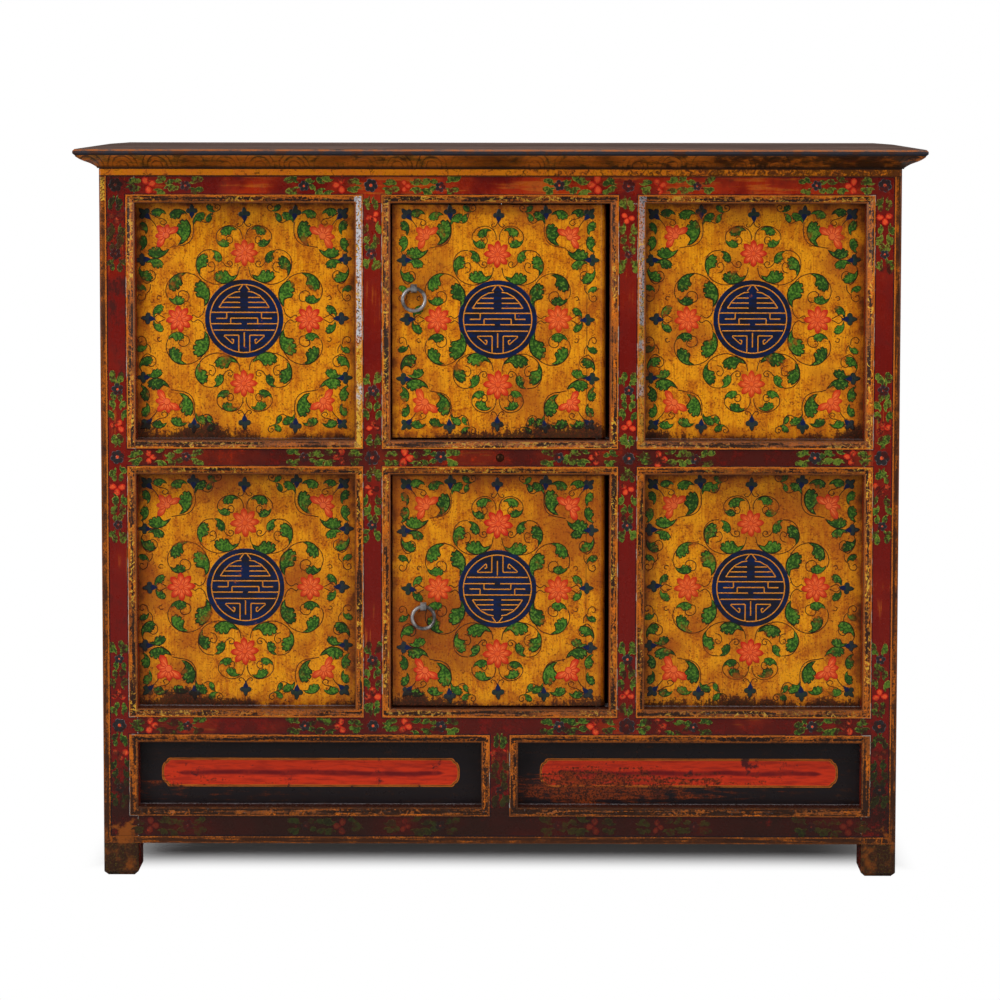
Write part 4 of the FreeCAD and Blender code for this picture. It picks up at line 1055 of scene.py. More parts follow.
def stamp_tree():
    """Sets motifs from a collection on marked points, each turned and sized, as one painted mesh."""
    tree, given = new_group(
        "stamped_ornament", "GeometryNodeTree",
        [("Marks", "NodeSocketGeometry"), ("Motifs", "NodeSocketCollection"), ("Paint", "NodeSocketMaterial"),
         ("Seed", "NodeSocketInt")], [("Ornament", "NodeSocketGeometry")])
    motifs = add(tree, "GeometryNodeCollectionInfo",
                 {"Collection": given["Motifs"], "Separate Children": True, "Reset Children": True})
    turn, size, kind = (add(tree, "GeometryNodeInputNamedAttribute", {"Name": name}, data_type=data)
                        for name, data in (("turn", "FLOAT"), ("size", "FLOAT"), ("kind", "INT")))
    angles = add(tree, "ShaderNodeCombineXYZ", {"Y": turn})
    rotation = add(tree, "FunctionNodeEulerToRotation", {0: angles})
    scale = add(tree, "ShaderNodeCombineXYZ", {"X": size, "Y": 1.0, "Z": size})
    set_out = add(tree, "GeometryNodeInstanceOnPoints",
                  {"Points": given["Marks"], "Instance": motifs, "Pick Instance": True,
                   "Instance Index": kind, "Rotation": rotation, "Scale": scale})
    chance = add(tree, "FunctionNodeRandomValue", {2: 0.0, 3: 1.0, "Seed": given["Seed"]}, out=1,
                 data_type="FLOAT")
    shaded = add(tree, "GeometryNodeStoreNamedAttribute",
                 {"Geometry": set_out, "Name": "shade", "Value": chance},
                 data_type="FLOAT", domain="INSTANCE")
    real = add(tree, "GeometryNodeRealizeInstances", {"Geometry": shaded})
    painted = add(tree, "GeometryNodeSetMaterial", {"Geometry": real, "Material": given["Paint"]})
    add(tree, "NodeGroupOutput", {0: painted}, out=None)
    return tree


def stroke_tree():
    """Draws lines along paths as low rounded ridges: the section is flattened towards the ground."""
    tree, given = new_group(
        "drawn_strokes", "GeometryNodeTree",
        [("Paths", "NodeSocketGeometry"), ("Radius", "NodeSocketFloat"), ("Flatness", "NodeSocketFloat"),
         ("Corner", "NodeSocketFloat"), ("Smooth", "NodeSocketBool"), ("Paint", "NodeSocketMaterial")],
        [("Strokes", "NodeSocketGeometry")])
    lines = add(tree, "GeometryNodeMeshToCurve", {"Mesh": given["Paths"]})
    curved = add(tree, "GeometryNodeCurveSplineType", {"Curve": lines}, spline_type="CATMULL_ROM")
    curved = add(tree, "GeometryNodeSetSplineResolution", {"Geometry": curved, "Resolution": 5})
    cornered = add(tree, "GeometryNodeFilletCurve", {"Curve": lines, "Radius": given["Corner"],
                                                     "Limit Radius": True})
    paths = add(tree, "GeometryNodeSwitch", {"Switch": given["Smooth"], "False": cornered, "True": curved},
                input_type="GEOMETRY")
    section = add(tree, "GeometryNodeCurvePrimitiveCircle", {"Resolution": 6, "Radius": given["Radius"]})
    tube = add(tree, "GeometryNodeCurveToMesh", {"Curve": paths, "Profile Curve": section, "Fill Caps": True})
    place = add(tree, "GeometryNodeInputPosition")
    ground = add(tree, "GeometryNodeInputNamedAttribute", {"Name": "ground"}, data_type="FLOAT")
    x, y, z = add(tree, "ShaderNodeSeparateXYZ", {0: place}, out=None)
    flat = add(tree, MATH, {0: y, 1: given["Flatness"], 2: ground}, operation="MULTIPLY_ADD")
    pressed = add(tree, "ShaderNodeCombineXYZ", {"X": x, "Y": flat, "Z": z})
    pressed = add(tree, "GeometryNodeSetPosition", {"Geometry": tube, "Position": pressed})
    soft = add(tree, "GeometryNodeSetShadeSmooth", {"Geometry": pressed})
    real = add(tree, "GeometryNodeRealizeInstances", {"Geometry": soft})
    painted = add(tree, "GeometryNodeSetMaterial", {"Geometry": real, "Material": given["Paint"]})
    add(tree, "NodeGroupOutput", {0: painted}, out=None)
    return tree


def grown(name, host, tree, values):
    """Runs a node tree on a host mesh, and leaves the result as one plain mesh object."""
    piece = bpy.data.objects.new(name, host)
    bpy.context.scene.collection.objects.link(piece)
    modifier = piece.modifiers.new("nodes", "NODES")
    modifier.node_group = tree
    for item in tree.interface.items_tree:
        if item.in_out == "INPUT" and item.name in values:
            modifier[item.identifier] = values[item.name]
    graph = bpy.context.evaluated_depsgraph_get()
    mesh = bpy.data.meshes.new_from_object(piece.evaluated_get(graph), preserve_all_data_layers=True,
                                           depsgraph=graph)
    piece.modifiers.remove(modifier)
    piece.data = mesh
    mesh.name = name
    if not mesh.polygons:
        raise RuntimeError(f"{name} came out empty")
    return piece


def marks_mesh(name, marks):
    """Points that carry each motif's turn, size and kind."""
    mesh = bpy.data.meshes.new(name)
    mesh.from_pydata([mark[0] for mark in marks], [], [])
    for key, kind, column in (("turn", "FLOAT", 1), ("size", "FLOAT", 2), ("kind", "INT", 3)):
        mesh.attributes.new(key, kind, "POINT").data.foreach_set("value", [mark[column] for mark in marks])
    return mesh


def paths_mesh(name, paths):
    """Lines in the XZ plane as edges, each with the depth of the ground that it is drawn on."""
    points, edges, ground = [], [], []
    for path, depth, closed in paths:
        start = len(points)
        points += [(x * MM, 0.0, z * MM) for x, z in path]
        ground += [depth * MM] * len(path)
        edges += [(start + k, start + k + 1) for k in range(len(path) - 1)]
        if closed:
            edges.append((start + len(path) - 1, start))
    mesh = bpy.data.meshes.new(name)
    mesh.from_pydata(points, edges, [])
    mesh.attributes.new("ground", "FLOAT", "POINT").data.foreach_set("value", ground)
    return mesh


def motif_set(name, meshes):
    """A collection of motif objects, outside the scene, in the order of their kinds."""
    collection = bpy.data.collections.new(name)
    for index, mesh in enumerate(meshes):
        collection.objects.link(bpy.data.objects.new(f"{name}_{index:02d}", mesh))
    return collection


def drop_set(collection):
    """Removes a collection of motifs once it has been stamped."""
    for motif in list(collection.objects):
        bpy.data.objects.remove(motif)
    bpy.data.collections.remove(collection)


def settle(piece, body):
    """Puts a finished piece on its body."""
    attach(piece, body)


class Field:
    """One painted field: its centre, ground, spread and turn, and the body that carries it."""

    def __init__(self, body, x, row, ground, spread, upside_down, seed):
        self.body, self.x, self.z, self.ground = body, x, sum(row) / 2 + DESIGN_UP, ground
        self.spread = spread
        self.sign = -1 if upside_down else 1
        self.chance = random.Random(seed)

    def at(self, x, z, spread=None):
        """A point of the design, measured from the roundel's centre, on the front. The field's own spread
        draws the design in or out across, unless another is given."""
        spread = self.spread if spread is None else spread
        return self.x + self.sign * spread * x, self.z + self.sign * z

    def mark(self, x, z, angle, size, kind, sway=1.0):
        """A motif set by hand at a point of the design, in metres, with its own thickness of paint."""
        px, pz = self.at(x + self.chance.gauss(0, 0.6) * sway, z + self.chance.gauss(0, 0.6) * sway)
        lean = self.chance.gauss(0, 0.06) * sway
        angle = angle + lean + (math.pi if self.sign < 0 else 0.0)
        size = size * (1 + self.chance.gauss(0, 0.04) * sway)
        depth = self.ground - self.chance.uniform(0.0, 0.12) * sway
        return (px * MM, depth * MM, pz * MM), -angle, size * MM, kind


def painted_fields():
    """The six painted fields. The lower door's design is upside down, as it was hung."""
    fields = []
    for order, (row_name, row) in enumerate(zip(ROWS, (UPPER_ROW, LOWER_ROW))):
        for sign in SIDES.values():
            centre = sign * BAY_PITCH - PANEL_DESIGN_LEFT
            fields.append(Field("cabinet", centre, row, PANEL_Y, 1.0, False, 10 * order + sign))
        low, high = span(f"{row_name}_door_board", X_AXIS)[0], span(f"{row_name}_door_hinge_stile", X_AXIS)[1]
        centre = (low + high) / 2 - DOOR_DESIGN_LEFT
        fields.append(Field(f"{row_name}_door", centre, row, DOOR_Y, DOOR_SPREAD, order == 1, 50 + order))
    return fields


def fields_on(body):
    """The painted fields that one body carries."""
    return [field for field in painted_fields() if field.body == body]


BODIES = (("cabinet", "panel"), ("upper_door", "upper_door"), ("lower_door", "lower_door"))

# One quarter of the design, in millimetres from the roundel's centre: each leaf from its stem to its end,
# and the side its lobes are on
LEAVES = (
    (7.6, 114.9, 28.6, 111.7, -1), (35.9, 104.1, 19.7, 94.4, -1), (41.5, 89.4, 27.8, 74.1, 1),
    (56.9, 55.6, 52.0, 83.1, 1), (8.4, 57.2, 39.1, 52.7, 1), (74.7, 59.2, 96.0, 39.5, -1),
    (51.2, 13.9, 58.5, 47.1, -1), (99.2, 27.7, 78.2, 22.0, -1), (118.0, 1.5, 107.8, 17.3, 1),
    (85.6, 94.7, 73.0, 125.4, -1), (65.0, 122.5, 52.0, 138.7, 1), (39.9, 137.6, 48.0, 127.0, -1),
    (35.1, 139.2, 48.0, 146.5, 1), (73.8, 135.9, 95.7, 134.3, -1), (100.5, 135.5, 120.2, 138.0, -1),
    (127.2, 108.5, 131.2, 127.4, -1), (135.7, 86.3, 127.2, 105.7, -1), (127.2, 72.1, 105.4, 69.7, 1),
    (97.0, 90.2, 124.4, 82.6, 1), (135.7, 66.0, 120.2, 47.9, -1), (125.6, 33.0, 138.0, 42.7, -1),
)
TENDRILS = (
    ((2.3, 102.8), (2.7, 109.3), (6.8, 116.6), (16.5, 120.9), (27.8, 118.2), (35.1, 110.9), (35.9, 102.8)),
    ((24, 97), (16.5, 98), (14.5, 103), (17.5, 107), (22, 105.5), (21.5, 102), (19, 102)),
    ((41.5, 89.6), (52, 88), (60.1, 80.2), (61.7, 68.9), (57.7, 56.8), (48.8, 48.7), (35.9, 44.6),
     (22.9, 47.1), (11.6, 52.7), (7.6, 59.2), (6, 67.3)),
    ((27.8, 74), (24, 69), (18.5, 67), (15, 70.5), (17, 74.5), (21, 74), (21, 71), (19, 70.5)),
    ((46, 60), (40, 62), (37.5, 68), (40.5, 73.5), (45.5, 72), (45.5, 68), (42.5, 67.5)),
    ((48.8, 23.6), (48.5, 33.3), (51.2, 43), (58.5, 52.7), (68.2, 58.1), (79.5, 59.5), (90.8, 55.1),
     (98.9, 46.3), (101.6, 35.8), (99.2, 27.2)),
    ((78.7, 22), (73, 23.6), (71.4, 30.1), (74.7, 34.9), (81.1, 36.2), (85.2, 32.5), (83.5, 28.5),
     (79.5, 28.8)),
    ((51.2, 13.9), (54, 5.9), (60, 1.5), (66, 4.5), (70, 1)),
    ((66.1, 125.4), (65, 119), (65.4, 109.3), (69.8, 100.4), (77.9, 95.5), (87.6, 93.9), (95.7, 92.3)),
    ((122, 137), (112, 131), (104, 129), (100, 125), (104, 121.5), (108, 124), (106, 127)),
    ((123.1, 76.6), (115, 77), (107, 80.2), (100.5, 85), (97, 90.2)),
    ((124.7, 77.8), (131.2, 81.8), (134.8, 88.3)),
    ((133, 70), (136, 62), (133, 52), (127, 46), (121, 48), (115.5, 52), (115.5, 59), (121, 62.5),
     (125.5, 59), (124.5, 54.5), (121, 54.5)),
    ((125.6, 33), (121.8, 38.2), (121.5, 44.6)),
    ((127, 33), (128.5, 26), (134, 23), (138, 26.5), (136, 31), (132.5, 29.5)),
    ((36, 139), (32, 141), (30.5, 145), (33.5, 148), (37, 146), (36, 143), (34, 143.5)),
    ((40, 138), (43, 128), (49, 124.5), (55, 127)),
    ((0, 126), (3, 121), (7, 119.5), (9, 122), (6.5, 124)),
    ((118, 0), (112, 5), (107, 3), (103, 1)),
    ((123, 131), (117, 125), (112, 117)),
    ((107, 28.5), (111, 29.8), (113, 26), (109.5, 24.5)),
)
LOTUS_AT = (((0, 84.5), 90), ((0, -84.5), -90), ((84, 0), 0), ((-84, 0), 180))
AXIS_BUDS = (((0, 135), 90), ((0, -135), -90), ((125.5, 0), 0), ((-125.5, 0), 180))
QUARTER_BUDS = (((66.6, 139), 90), ((131, 76.5), 0), ((127.5, 136.0), 45))
CORNER_LOTUS = (101.0, 107.5)

# A roundel's fret, in millimetres from its centre: lines across the middle, and half of the rest, which the
# other half mirrors
FRET_WHOLE = (
    ((-43.2, 8.1), (43.2, 8.1)), ((-17.5, -6.7), (-17.5, 0.6), (17.5, 0.6), (17.5, -6.7)),
    ((-39.5, -15), (39.5, -15)), ((0, -17.5), (0, -36.5)),
)
FRET_HALF = (
    ((5.2, 27.5), (20.7, 27.5)), ((5.2, 21.1), (27.2, 21.1)), ((5.2, 14.6), (32.5, 14.6)),
    ((5.0, 35.3), (12, 34.2), (20.5, 29.6), (27, 23.0), (32.5, 14.6)), ((7.0, 37.0), (2.2, 43.2)),
    ((22.5, 8.1), (22.5, 0.3), (36, 0.3)), ((3.6, -6.7), (43.4, -6.7)),
    ((7.2, -43.4), (7.2, -21.6), (27.2, -21.6), (14.4, -33.2), (13.8, -27.4), (16.6, -26.8)),
)


# A spray from one end of a bay, in millimetres: its pairs of leaves (how far along, how far off the middle,
# the turn and the length) and its flowers (how far along, the size and the kind of motif)
SPRAY_LEAVES = ((-10, 3.5, 0.2, 14.0), (-2, 7.5, -0.35, 11.0), (25, 7.0, 0.15, 15.0), (38, 5.0, 0.2, 14.0),
                (50, 7.5, -0.4, 12.0), (70, 3.5, 0.55, 14.0), (76, 7.5, -0.1, 12.0))
SPRAY_FLOWERS = ((17, 10.5, 2), (65, 7.0, 4))


class CABINET_OT_paint_frame(bpy.types.Operator):
    """Paint the posts, rails and muntins of the front"""
    bl_idname = "cabinet.paint_frame"
    bl_label = "Paint front frame"

    def execute(self, context):
        colours = context.scene.cabinet_colours
        uprights = [f"front_{side}_post" for side in SIDES] + ["base_muntin"]
        uprights += [f"{row}_{side}_muntin" for row in ROWS for side in SIDES]
        dress(uprights, frame_lacquer(colours, "oxblood_lacquer_uprights", (1.0, 1.0, 0.06),
                                      (260.0, FOOT_TOP, 0.14), 0.15, colours.chip))
        rails = [f"front_{level}_rail" for level in ("bottom", "lower", "middle", "top")]
        dress(rails, frame_lacquer(colours, "oxblood_lacquer_rails", (0.06, 1.0, 1.0),
                                   (UPPER_ROW[1], LOWER_ROW[1], 0.22), 0.95, colours.line))
        return {"FINISHED"}


class CABINET_OT_paint_panels(bpy.types.Operator):
    """Lay the ochre ground on panels and doors, and the black ground on the base panels"""
    bl_idname = "cabinet.paint_panels"
    bl_label = "Paint panel grounds"

    def execute(self, context):
        colours = context.scene.cabinet_colours
        nodes = [f"{row}_{side}_panel" for row in ROWS for side in SIDES]
        nodes += [f"{row}_door_{piece}" for row in ROWS for piece in ("board", "hinge_stile")]
        dress(nodes, ochre_distemper(colours))
        dress([f"{side}_base_panel" for side in SIDES], lamp_black(colours))
        return {"FINISHED"}


class CABINET_OT_paint_leaves(bpy.types.Operator):
    """Paint the leaves of the panels and doors"""
    bl_idname = "cabinet.paint_leaves"
    bl_label = "Paint leaves"

    def execute(self, context):
        relief = context.scene.cabinet_sizes.relief
        motifs = motif_set("leaf", [leaf_stamp("leaf", side, relief) for side in (1, -1)])
        paint, tree = leaf_green(context.scene.cabinet_colours), shared_tree("stamped_ornament", stamp_tree)
        for seed, (body, name) in enumerate(BODIES):
            marks = []
            for field in fields_on(body):
                for mx, mz in QUARTERS:
                    for x0, z0, x1, z1, side in LEAVES:
                        dx, dz = (x1 - x0) * mx, (z1 - z0) * mz
                        kind = 0 if side * mx * mz > 0 else 1
                        marks.append(field.mark(x0 * mx + 0.05 * dx, z0 * mz + 0.05 * dz, math.atan2(dz, dx),
                                                math.hypot(dx, dz) * 0.93, kind))
            piece = grown(f"{name}_leaves", marks_mesh("leaf_marks", marks), tree,
                          {"Motifs": motifs, "Paint": paint, "Seed": seed})
            settle(piece, body)
        drop_set(motifs)
        return {"FINISHED"}


class CABINET_OT_paint_flowers(bpy.types.Operator):
    """Paint the lotus flowers and blue buds of the panels and doors"""
    bl_idname = "cabinet.paint_flowers"
    bl_label = "Paint flowers"

    def execute(self, context):
        sizes, colours = context.scene.cabinet_sizes, context.scene.cabinet_colours
        relief, tree = sizes.relief, shared_tree("stamped_ornament", stamp_tree)
        thick = relief * 1.3
        lotus = motif_set("lotus", [lotus_stamp("lotus", thick), half_lotus_stamp("half", thick)])
        bud = motif_set("bud", [bud_stamp("bud", relief * 1.2)])
        red, blue = lotus_red(colours), bud_blue(colours)
        radius, bud_size = sizes.lotus_radius / MM, sizes.bud_size / MM
        for seed, (body, name) in enumerate(BODIES):
            flowers, buds = [], []
            for field in fields_on(body):
                for (x, z), angle in LOTUS_AT:
                    flowers.append(field.mark(x, z, math.radians(angle), radius, 0))
                for (x, z), angle in AXIS_BUDS:
                    buds.append(field.mark(x, z, math.radians(angle), bud_size, 0))
                for mx, mz in QUARTERS:
                    corner = math.atan2(mz, mx)
                    x, z = CORNER_LOTUS
                    flowers.append(field.mark(x * mx, z * mz, corner, radius * 0.95, 1))
                    for (x, z), angle in QUARTER_BUDS:
                        lean = math.radians(angle)
                        lean = math.atan2(math.sin(lean) * mz, math.cos(lean) * mx)
                        buds.append(field.mark(x * mx, z * mz, lean, bud_size, 0))
            for kind, marks, motifs, paint in (("lotus", flowers, lotus, red), ("buds", buds, bud, blue)):
                piece = grown(f"{name}_{kind}", marks_mesh(f"{kind}_marks", marks), tree,
                              {"Motifs": motifs, "Paint": paint, "Seed": seed + 7})
                settle(piece, body)
        drop_set(lotus)
        drop_set(bud)
        return {"FINISHED"}


class CABINET_OT_draw_tendrils(bpy.types.Operator):
    """Draw the tendrils that join leaves and flowers"""
    bl_idname = "cabinet.draw_tendrils"
    bl_label = "Draw tendrils"

    def execute(self, context):
        ink, tree = ink_line(context.scene.cabinet_colours), shared_tree("drawn_strokes", stroke_tree)
        for body, name in BODIES:
            paths = []
            for field in fields_on(body):
                for mx, mz in QUARTERS:
                    for path in TENDRILS:
                        paths.append(([field.at(x * mx, z * mz) for x, z in path], field.ground, False))
            piece = grown(f"{name}_tendrils", paths_mesh("tendril_paths", paths), tree,
                          {"Radius": context.scene.cabinet_sizes.line_radius, "Flatness": 0.5, "Smooth": True,
                           "Corner": 0.0, "Paint": ink})
            settle(piece, body)
        return {"FINISHED"}


class CABINET_OT_paint_roundels(bpy.types.Operator):
    """Paint the indigo roundels and draw their gold fret"""
    bl_idname = "cabinet.paint_roundels"
    bl_label = "Paint roundels"

    def execute(self, context):
        sizes, colours = context.scene.cabinet_sizes, context.scene.cabinet_colours
        stamps = shared_tree("stamped_ornament", stamp_tree)
        strokes = shared_tree("drawn_strokes", stroke_tree)
        indigo, gold = roundel_indigo(colours), roundel_gold(colours)
        height = sizes.relief * 1.1
        for body, name in BODIES:
            paths, marks = [], []
            for field in fields_on(body):
                marks.append(field.mark(0, 0, math.pi / 2, 1000.0, 0, sway=0.0))
                top = field.ground - height / MM
                mirrored = [[(-x, z) for x, z in path] for path in FRET_HALF]
                for line in FRET_WHOLE + FRET_HALF + tuple(mirrored):
                    paths.append(([field.at(x, z, 1.0) for x, z in line], top, False))
                circle = disc(sizes.roundel_circle / MM, 64)
                paths.append(([field.at(x, z, 1.0) for x, z in circle], top, True))
            motifs = motif_set("roundel", [self.disc_mesh(sizes.roundel_radius, height)])
            plate = grown(f"{name}_roundels", marks_mesh("roundel_marks", marks), stamps,
                          {"Motifs": motifs, "Paint": indigo, "Seed": 3})
            drop_set(motifs)
            settle(plate, body)
            fret = grown(f"{name}_roundel_fret", paths_mesh("fret_paths", paths), strokes,
                         {"Radius": sizes.stroke_radius, "Flatness": 0.22, "Smooth": False,
                          "Corner": 0.7 * MM, "Paint": gold})
            settle(fret, body)
        return {"FINISHED"}

    def disc_mesh(self, radius, height):
        """A roundel's plate of paint."""
        stamp = Stamp("roundel")
        stamp.shape(disc(radius, 72), [(0.0, 0.0)] * 72, 0.0, height, 0.4 * MM)
        return stamp.mesh()


class CABINET_OT_paint_cartouches(bpy.types.Operator):
    """Paint the long red cartouches of the base panels"""
    bl_idname = "cabinet.paint_cartouches"
    bl_label = "Paint cartouches"

    def execute(self, context):
        sizes = context.scene.cabinet_sizes
        half, high = sizes.cartouche_length / 2, sizes.cartouche_height / 2
        stamp = Stamp("cartouches")
        corner = [(10.0, 0.0), (7.6, 1.2), (6.0, 4.2), (2.6, 6.4), (0.9, 10.0), (0.0, 15.0)]
        quarter = [(half - x * MM, high - z * MM) for x, z in corner]
        outline = [(x, -z) for x, z in quarter] + quarter[::-1]
        outline = outline + [(-x, -z) for x, z in outline]
        loops = [[(x - math.copysign(by * MM, x), z * (1 - by * MM / high)) for x, z in outline]
                 for by in (0.0, 1.1, 1.7, 2.7)]
        for sign in SIDES.values():
            centre = (sign * sum(BASE_X) / 2 * MM, CARTOUCHE_Z * MM)
            for loop, tone, relief in zip(loops, (1.0, 0.5, 1.0, 0.0), (0.7, 0.85, 1.0, 1.2)):
                spots = [(x / half, z / high) for x, z in loop]
                stamp.shape([(x + centre[0], z + centre[1]) for x, z in loop], spots, tone,
                            sizes.relief * relief, 0.15 * MM)
        mesh = stamp.mesh()
        for point in mesh.vertices:
            point.co.y += PANEL_Y * MM
        mesh.materials.append(cartouche_red(context.scene.cabinet_colours))
        piece = bpy.data.objects.new("base_cartouches", mesh)
        context.scene.collection.objects.link(piece)
        settle(piece, "cabinet")
        return {"FINISHED"}


class CABINET_OT_paint_sprays(bpy.types.Operator):
    """Paint the flower sprays on the red fields of the frame"""
    bl_idname = "cabinet.paint_sprays"
    bl_label = "Paint sprays"

    def execute(self, context):
        relief = context.scene.cabinet_sizes.relief * 0.8
        motifs = motif_set("spray", [
            leaf_stamp("sprig", 1, relief), leaf_stamp("sprig", -1, relief), triple_stamp("triple", relief),
            rosette_stamp("rosette", relief, 6, 0.24), rosette_stamp("dark", relief, 5, 0.2)])
        chance = random.Random(77)
        marks = []
        rails = ((CARCASS_TOP - TOP_FILLET + UPPER_ROW[1] + BEAD_WIDTH) / 2,
                 (UPPER_ROW[0] + LOWER_ROW[1]) / 2, (LOWER_ROW[0] + BASE_ROW[1]) / 2,
                 (FOOT_TOP + BORDER + BASE_ROW[0] - BEAD_WIDTH) / 2)
        crossing = (HALF_BAY + MUNTIN_X[1]) / 2
        post = (HALF_WIDTH - BORDER + INNER_X + BEAD_WIDTH) / 2
        ends = [(side * x, way * side) for x, way in ((INNER_X, -1), (MUNTIN_X[1], 1), (HALF_BAY, -1))
                for side in SIDES.values()]
        for z in rails:
            for x, way in ends:
                self.spray(marks, chance, x, z, 0.0 if way > 0 else math.pi)
        up = math.pi / 2
        rows = ((UPPER_ROW[0], up), (UPPER_ROW[1], -up), (LOWER_ROW[0], up), (LOWER_ROW[1], -up))
        for side in SIDES.values():
            for z, angle in rows:
                self.spray(marks, chance, side * crossing, z, angle)
            for z, angle in rows + ((BASE_ROW[1] + 4, -up),):
                self.spray(marks, chance, side * post, z, angle)
            for x in (crossing, post):
                marks += [self.mark(chance, side * x, z, 0.0, ROSETTE, 3) for z in rails[:3]]
        self.spray(marks, chance, 0.0, BASE_ROW[1] + 4, -up)
        paint, tree = spray_paint(context.scene.cabinet_colours), shared_tree("stamped_ornament", stamp_tree)
        piece = grown("frame_sprays", marks_mesh("spray_marks", marks), tree,
                      {"Motifs": motifs, "Paint": paint, "Seed": 21})
        drop_set(motifs)
        settle(piece, "cabinet")
        return {"FINISHED"}

    def mark(self, chance, x, z, angle, size, kind):
        """A motif on the red field, set by hand, with its own thickness of paint."""
        depth = FIELD_Y - chance.uniform(0.0, 0.12)
        place = ((x + chance.gauss(0, 0.7)) * MM, depth * MM, (z + chance.gauss(0, 0.7)) * MM)
        return place, -(angle + chance.gauss(0, 0.2)), size * (1 + chance.gauss(0, 0.1)) * MM, kind

    def spray(self, marks, chance, x, z, angle):
        """Leaves and flowers along a member from one end of a bay."""
        cos, sin = math.cos(angle), math.sin(angle)
        for along, off, turn, size in SPRAY_LEAVES:
            for side in (1, -1):
                place = (x + along * cos - off * side * sin, z + along * sin + off * side * cos)
                marks.append(self.mark(chance, *place, angle + turn * side, size, 0 if side > 0 else 1))
        for along, size, kind in SPRAY_FLOWERS:
            marks.append(self.mark(chance, x + along * cos, z + along * sin, angle, size, kind))


class CABINET_OT_finish_carcass(bpy.types.Operator):
    """Finish the sides, cornice, top, back and inside"""
    bl_idname = "cabinet.finish_carcass"
    bl_label = "Finish carcass"

    def execute(self, context):
        colours = context.scene.cabinet_colours
        upright, lengthways, deep = (1.0, 1.0, 0.05), (0.05, 1.0, 1.0), (1.0, 0.05, 1.0)
        posts = [f"rear_{side}_post" for side in SIDES]
        panels = [f"{side}_side_{row}_panel" for side in SIDES for row in ROWS]
        dress(posts + panels, side_lacquer(colours, "oxblood_paint_uprights", upright))
        rails = [f"{side}_side_{level}_rail" for side in SIDES for level in ("bottom", "middle", "top")]
        dress(rails, side_lacquer(colours, "oxblood_paint_rails", deep))
        dress([f"{side}_cornice" for side in ("front", "left", "right")], cornice_brown(colours))
        dress(["top_front_board", "top_middle_board", "top_rear_board", "top_pegs"], top_varnish(colours))
        dress(["back_boards"], plain_softwood(colours, "softwood_back_boards", upright, INNER_X / 3))
        stops = [f"{row}_door_stop" for row in ROWS]
        dress(stops, plain_softwood(colours, "softwood_upright_grain", upright))
        dress(["shelf_boards", "floor_boards", "rear_top_rail", "rear_middle_rail", "rear_bottom_rail",
               "upper_door_battens", "lower_door_battens"],
              plain_softwood(colours, "softwood_lengthways_grain", lengthways))
        dress(["top_bearers", "shelf_bearers", "floor_bearers"],
              plain_softwood(colours, "softwood_deep_grain", deep))
        return {"FINISHED"}


class CABINET_OT_finish_iron(bpy.types.Operator):
    """Finish the rings, staples, nails and stud"""
    bl_idname = "cabinet.finish_iron"
    bl_label = "Finish iron"

    def execute(self, context):
        nodes = [f"{row}_pull_{piece}" for row in ROWS for piece in ("ring", "staple")]
        colours = context.scene.cabinet_colours
        dress(nodes, forged_iron(colours, "forged_iron_rubbed", colours.iron))
        dress(["back_nails", "middle_rail_stud"], forged_iron(colours, "forged_iron_rusted", colours.bead))
        return {"FINISHED"}


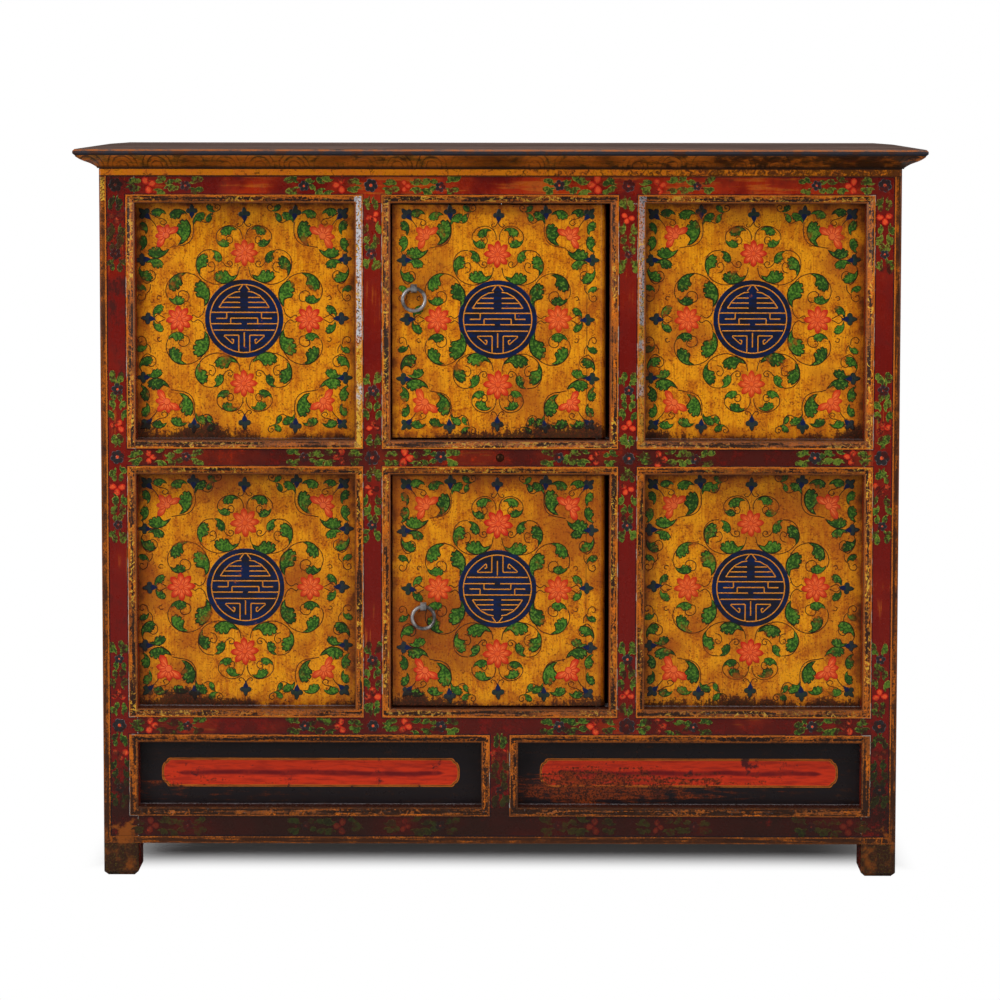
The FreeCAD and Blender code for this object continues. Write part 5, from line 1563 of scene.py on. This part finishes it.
class CABINET_OT_stage(bpy.types.Operator):
    """Set the floor, the light and the camera"""
    bl_idname = "cabinet.stage"
    bl_label = "Set stage"

    def execute(self, context):
        scene, stage = context.scene, context.scene.cabinet_stage
        scene.view_settings.view_transform = "Standard"
        self.lay_floor(scene)
        self.light_room(scene, stage.sky)
        for name, place, aim, size, power, mirrored in (
                ("key_softbox", (-2.9, -3.4, 1.7), (0.0, 0.0, 0.5), 1.8, stage.key, True),
                ("fill_softbox", (3.1, -3.3, 1.3), (0.0, 0.0, 0.5), 2.2, stage.fill, True),
                ("top_softbox", (0.0, -1.3, 3.4), (0.0, -0.7, 0.0), 2.4, stage.top, False),
                ("rear_softbox", (0.0, 4.2, 2.2), (0.0, 0.0, 0.5), 2.4, stage.rear, False)):
            lamp = bpy.data.lights.new(name, "AREA")
            lamp.size, lamp.energy = size, power
            light = bpy.data.objects.new(name, lamp)
            scene.collection.objects.link(light)
            light.location = place
            light.visible_glossy = mirrored
            light.rotation_euler = (light.location - Vector(aim)).to_track_quat("Z", "Y").to_euler()
        self.place_camera(scene, stage)
        return {"FINISHED"}

    def lay_floor(self, scene):
        """A wide sheet of paper under the cabinet."""
        mesh = bpy.data.meshes.new("studio_floor")
        reach = 9.0
        mesh.from_pydata([(x * reach, y * reach, 0) for x, y in ((-1, -1), (1, -1), (1, 1), (-1, 1))], [],
                         [(0, 1, 2, 3)])
        floor = bpy.data.objects.new("studio_floor", mesh)
        scene.collection.objects.link(floor)
        mesh.materials.append(studio_paper())

    def light_room(self, scene, strength):
        """A room that is white to the camera and gives a little light all round."""
        world = bpy.data.worlds.new("white_studio")
        world.use_nodes = True
        tree = world.node_tree
        tree.nodes.clear()
        direct = add(tree, "ShaderNodeLightPath", out="Is Camera Ray")
        level = add(tree, MIX, {0: direct, 2: strength, 3: 1.0})
        sky = add(tree, "ShaderNodeBackground", {0: (1.0, 1.0, 1.0, 1.0), 1: level})
        add(tree, "ShaderNodeOutputWorld", {0: sky}, out=None)
        scene.world = world

    def place_camera(self, scene, stage):
        """A long lens in front, a little above the top, that looks slightly down."""
        camera = bpy.data.objects.new("camera", bpy.data.cameras.new("camera"))
        scene.collection.objects.link(camera)
        camera.data.lens, camera.data.sensor_width = stage.lens, 36.0
        camera.data.shift_y = stage.shift
        turn = Matrix.Rotation(stage.turn, 4, "Z") @ Matrix.Rotation(math.pi / 2 - stage.tilt, 4, "X")
        camera.matrix_world = Matrix.Translation(stage.eye) @ turn @ Matrix.Rotation(stage.roll, 4, "Z")
        scene.camera = camera


OPERATORS = (CABINET_OT_paint_frame, CABINET_OT_paint_panels, CABINET_OT_paint_leaves,
             CABINET_OT_paint_flowers, CABINET_OT_draw_tendrils, CABINET_OT_paint_roundels,
             CABINET_OT_paint_cartouches, CABINET_OT_paint_sprays, CABINET_OT_finish_carcass,
             CABINET_OT_finish_iron, CABINET_OT_stage)
GROUPS = (("cabinet_colours", CabinetColours), ("cabinet_sizes", CabinetSizes),
          ("cabinet_stage", CabinetStage))


class CABINET_PT_panel(bpy.types.Panel):
    """The cabinet's steps and sizes in the sidebar"""
    bl_label = "Painted Cabinet"
    bl_idname = "CABINET_PT_panel"
    bl_space_type = "VIEW_3D"
    bl_region_type = "UI"
    bl_category = "Cabinet"

    def draw(self, context):
        for operator in OPERATORS:
            self.layout.operator(operator.bl_idname)
        for key, group in GROUPS:
            for name in group.__annotations__:
                self.layout.prop(getattr(context.scene, key), name)


def register():
    for key, group in GROUPS:
        bpy.utils.register_class(group)
        setattr(bpy.types.Scene, key, bpy.props.PointerProperty(type=group))
    for operator in OPERATORS + (CABINET_PT_panel,):
        bpy.utils.register_class(operator)


def unregister():
    for operator in reversed(OPERATORS + (CABINET_PT_panel,)):
        bpy.utils.unregister_class(operator)
    for key, group in GROUPS:
        delattr(bpy.types.Scene, key)
        bpy.utils.unregister_class(group)


def main():
    register()
    for operator in OPERATORS:
        family, step = operator.bl_idname.split(".")
        getattr(getattr(bpy.ops, family), step)()


if __name__ == "__main__":
    main()
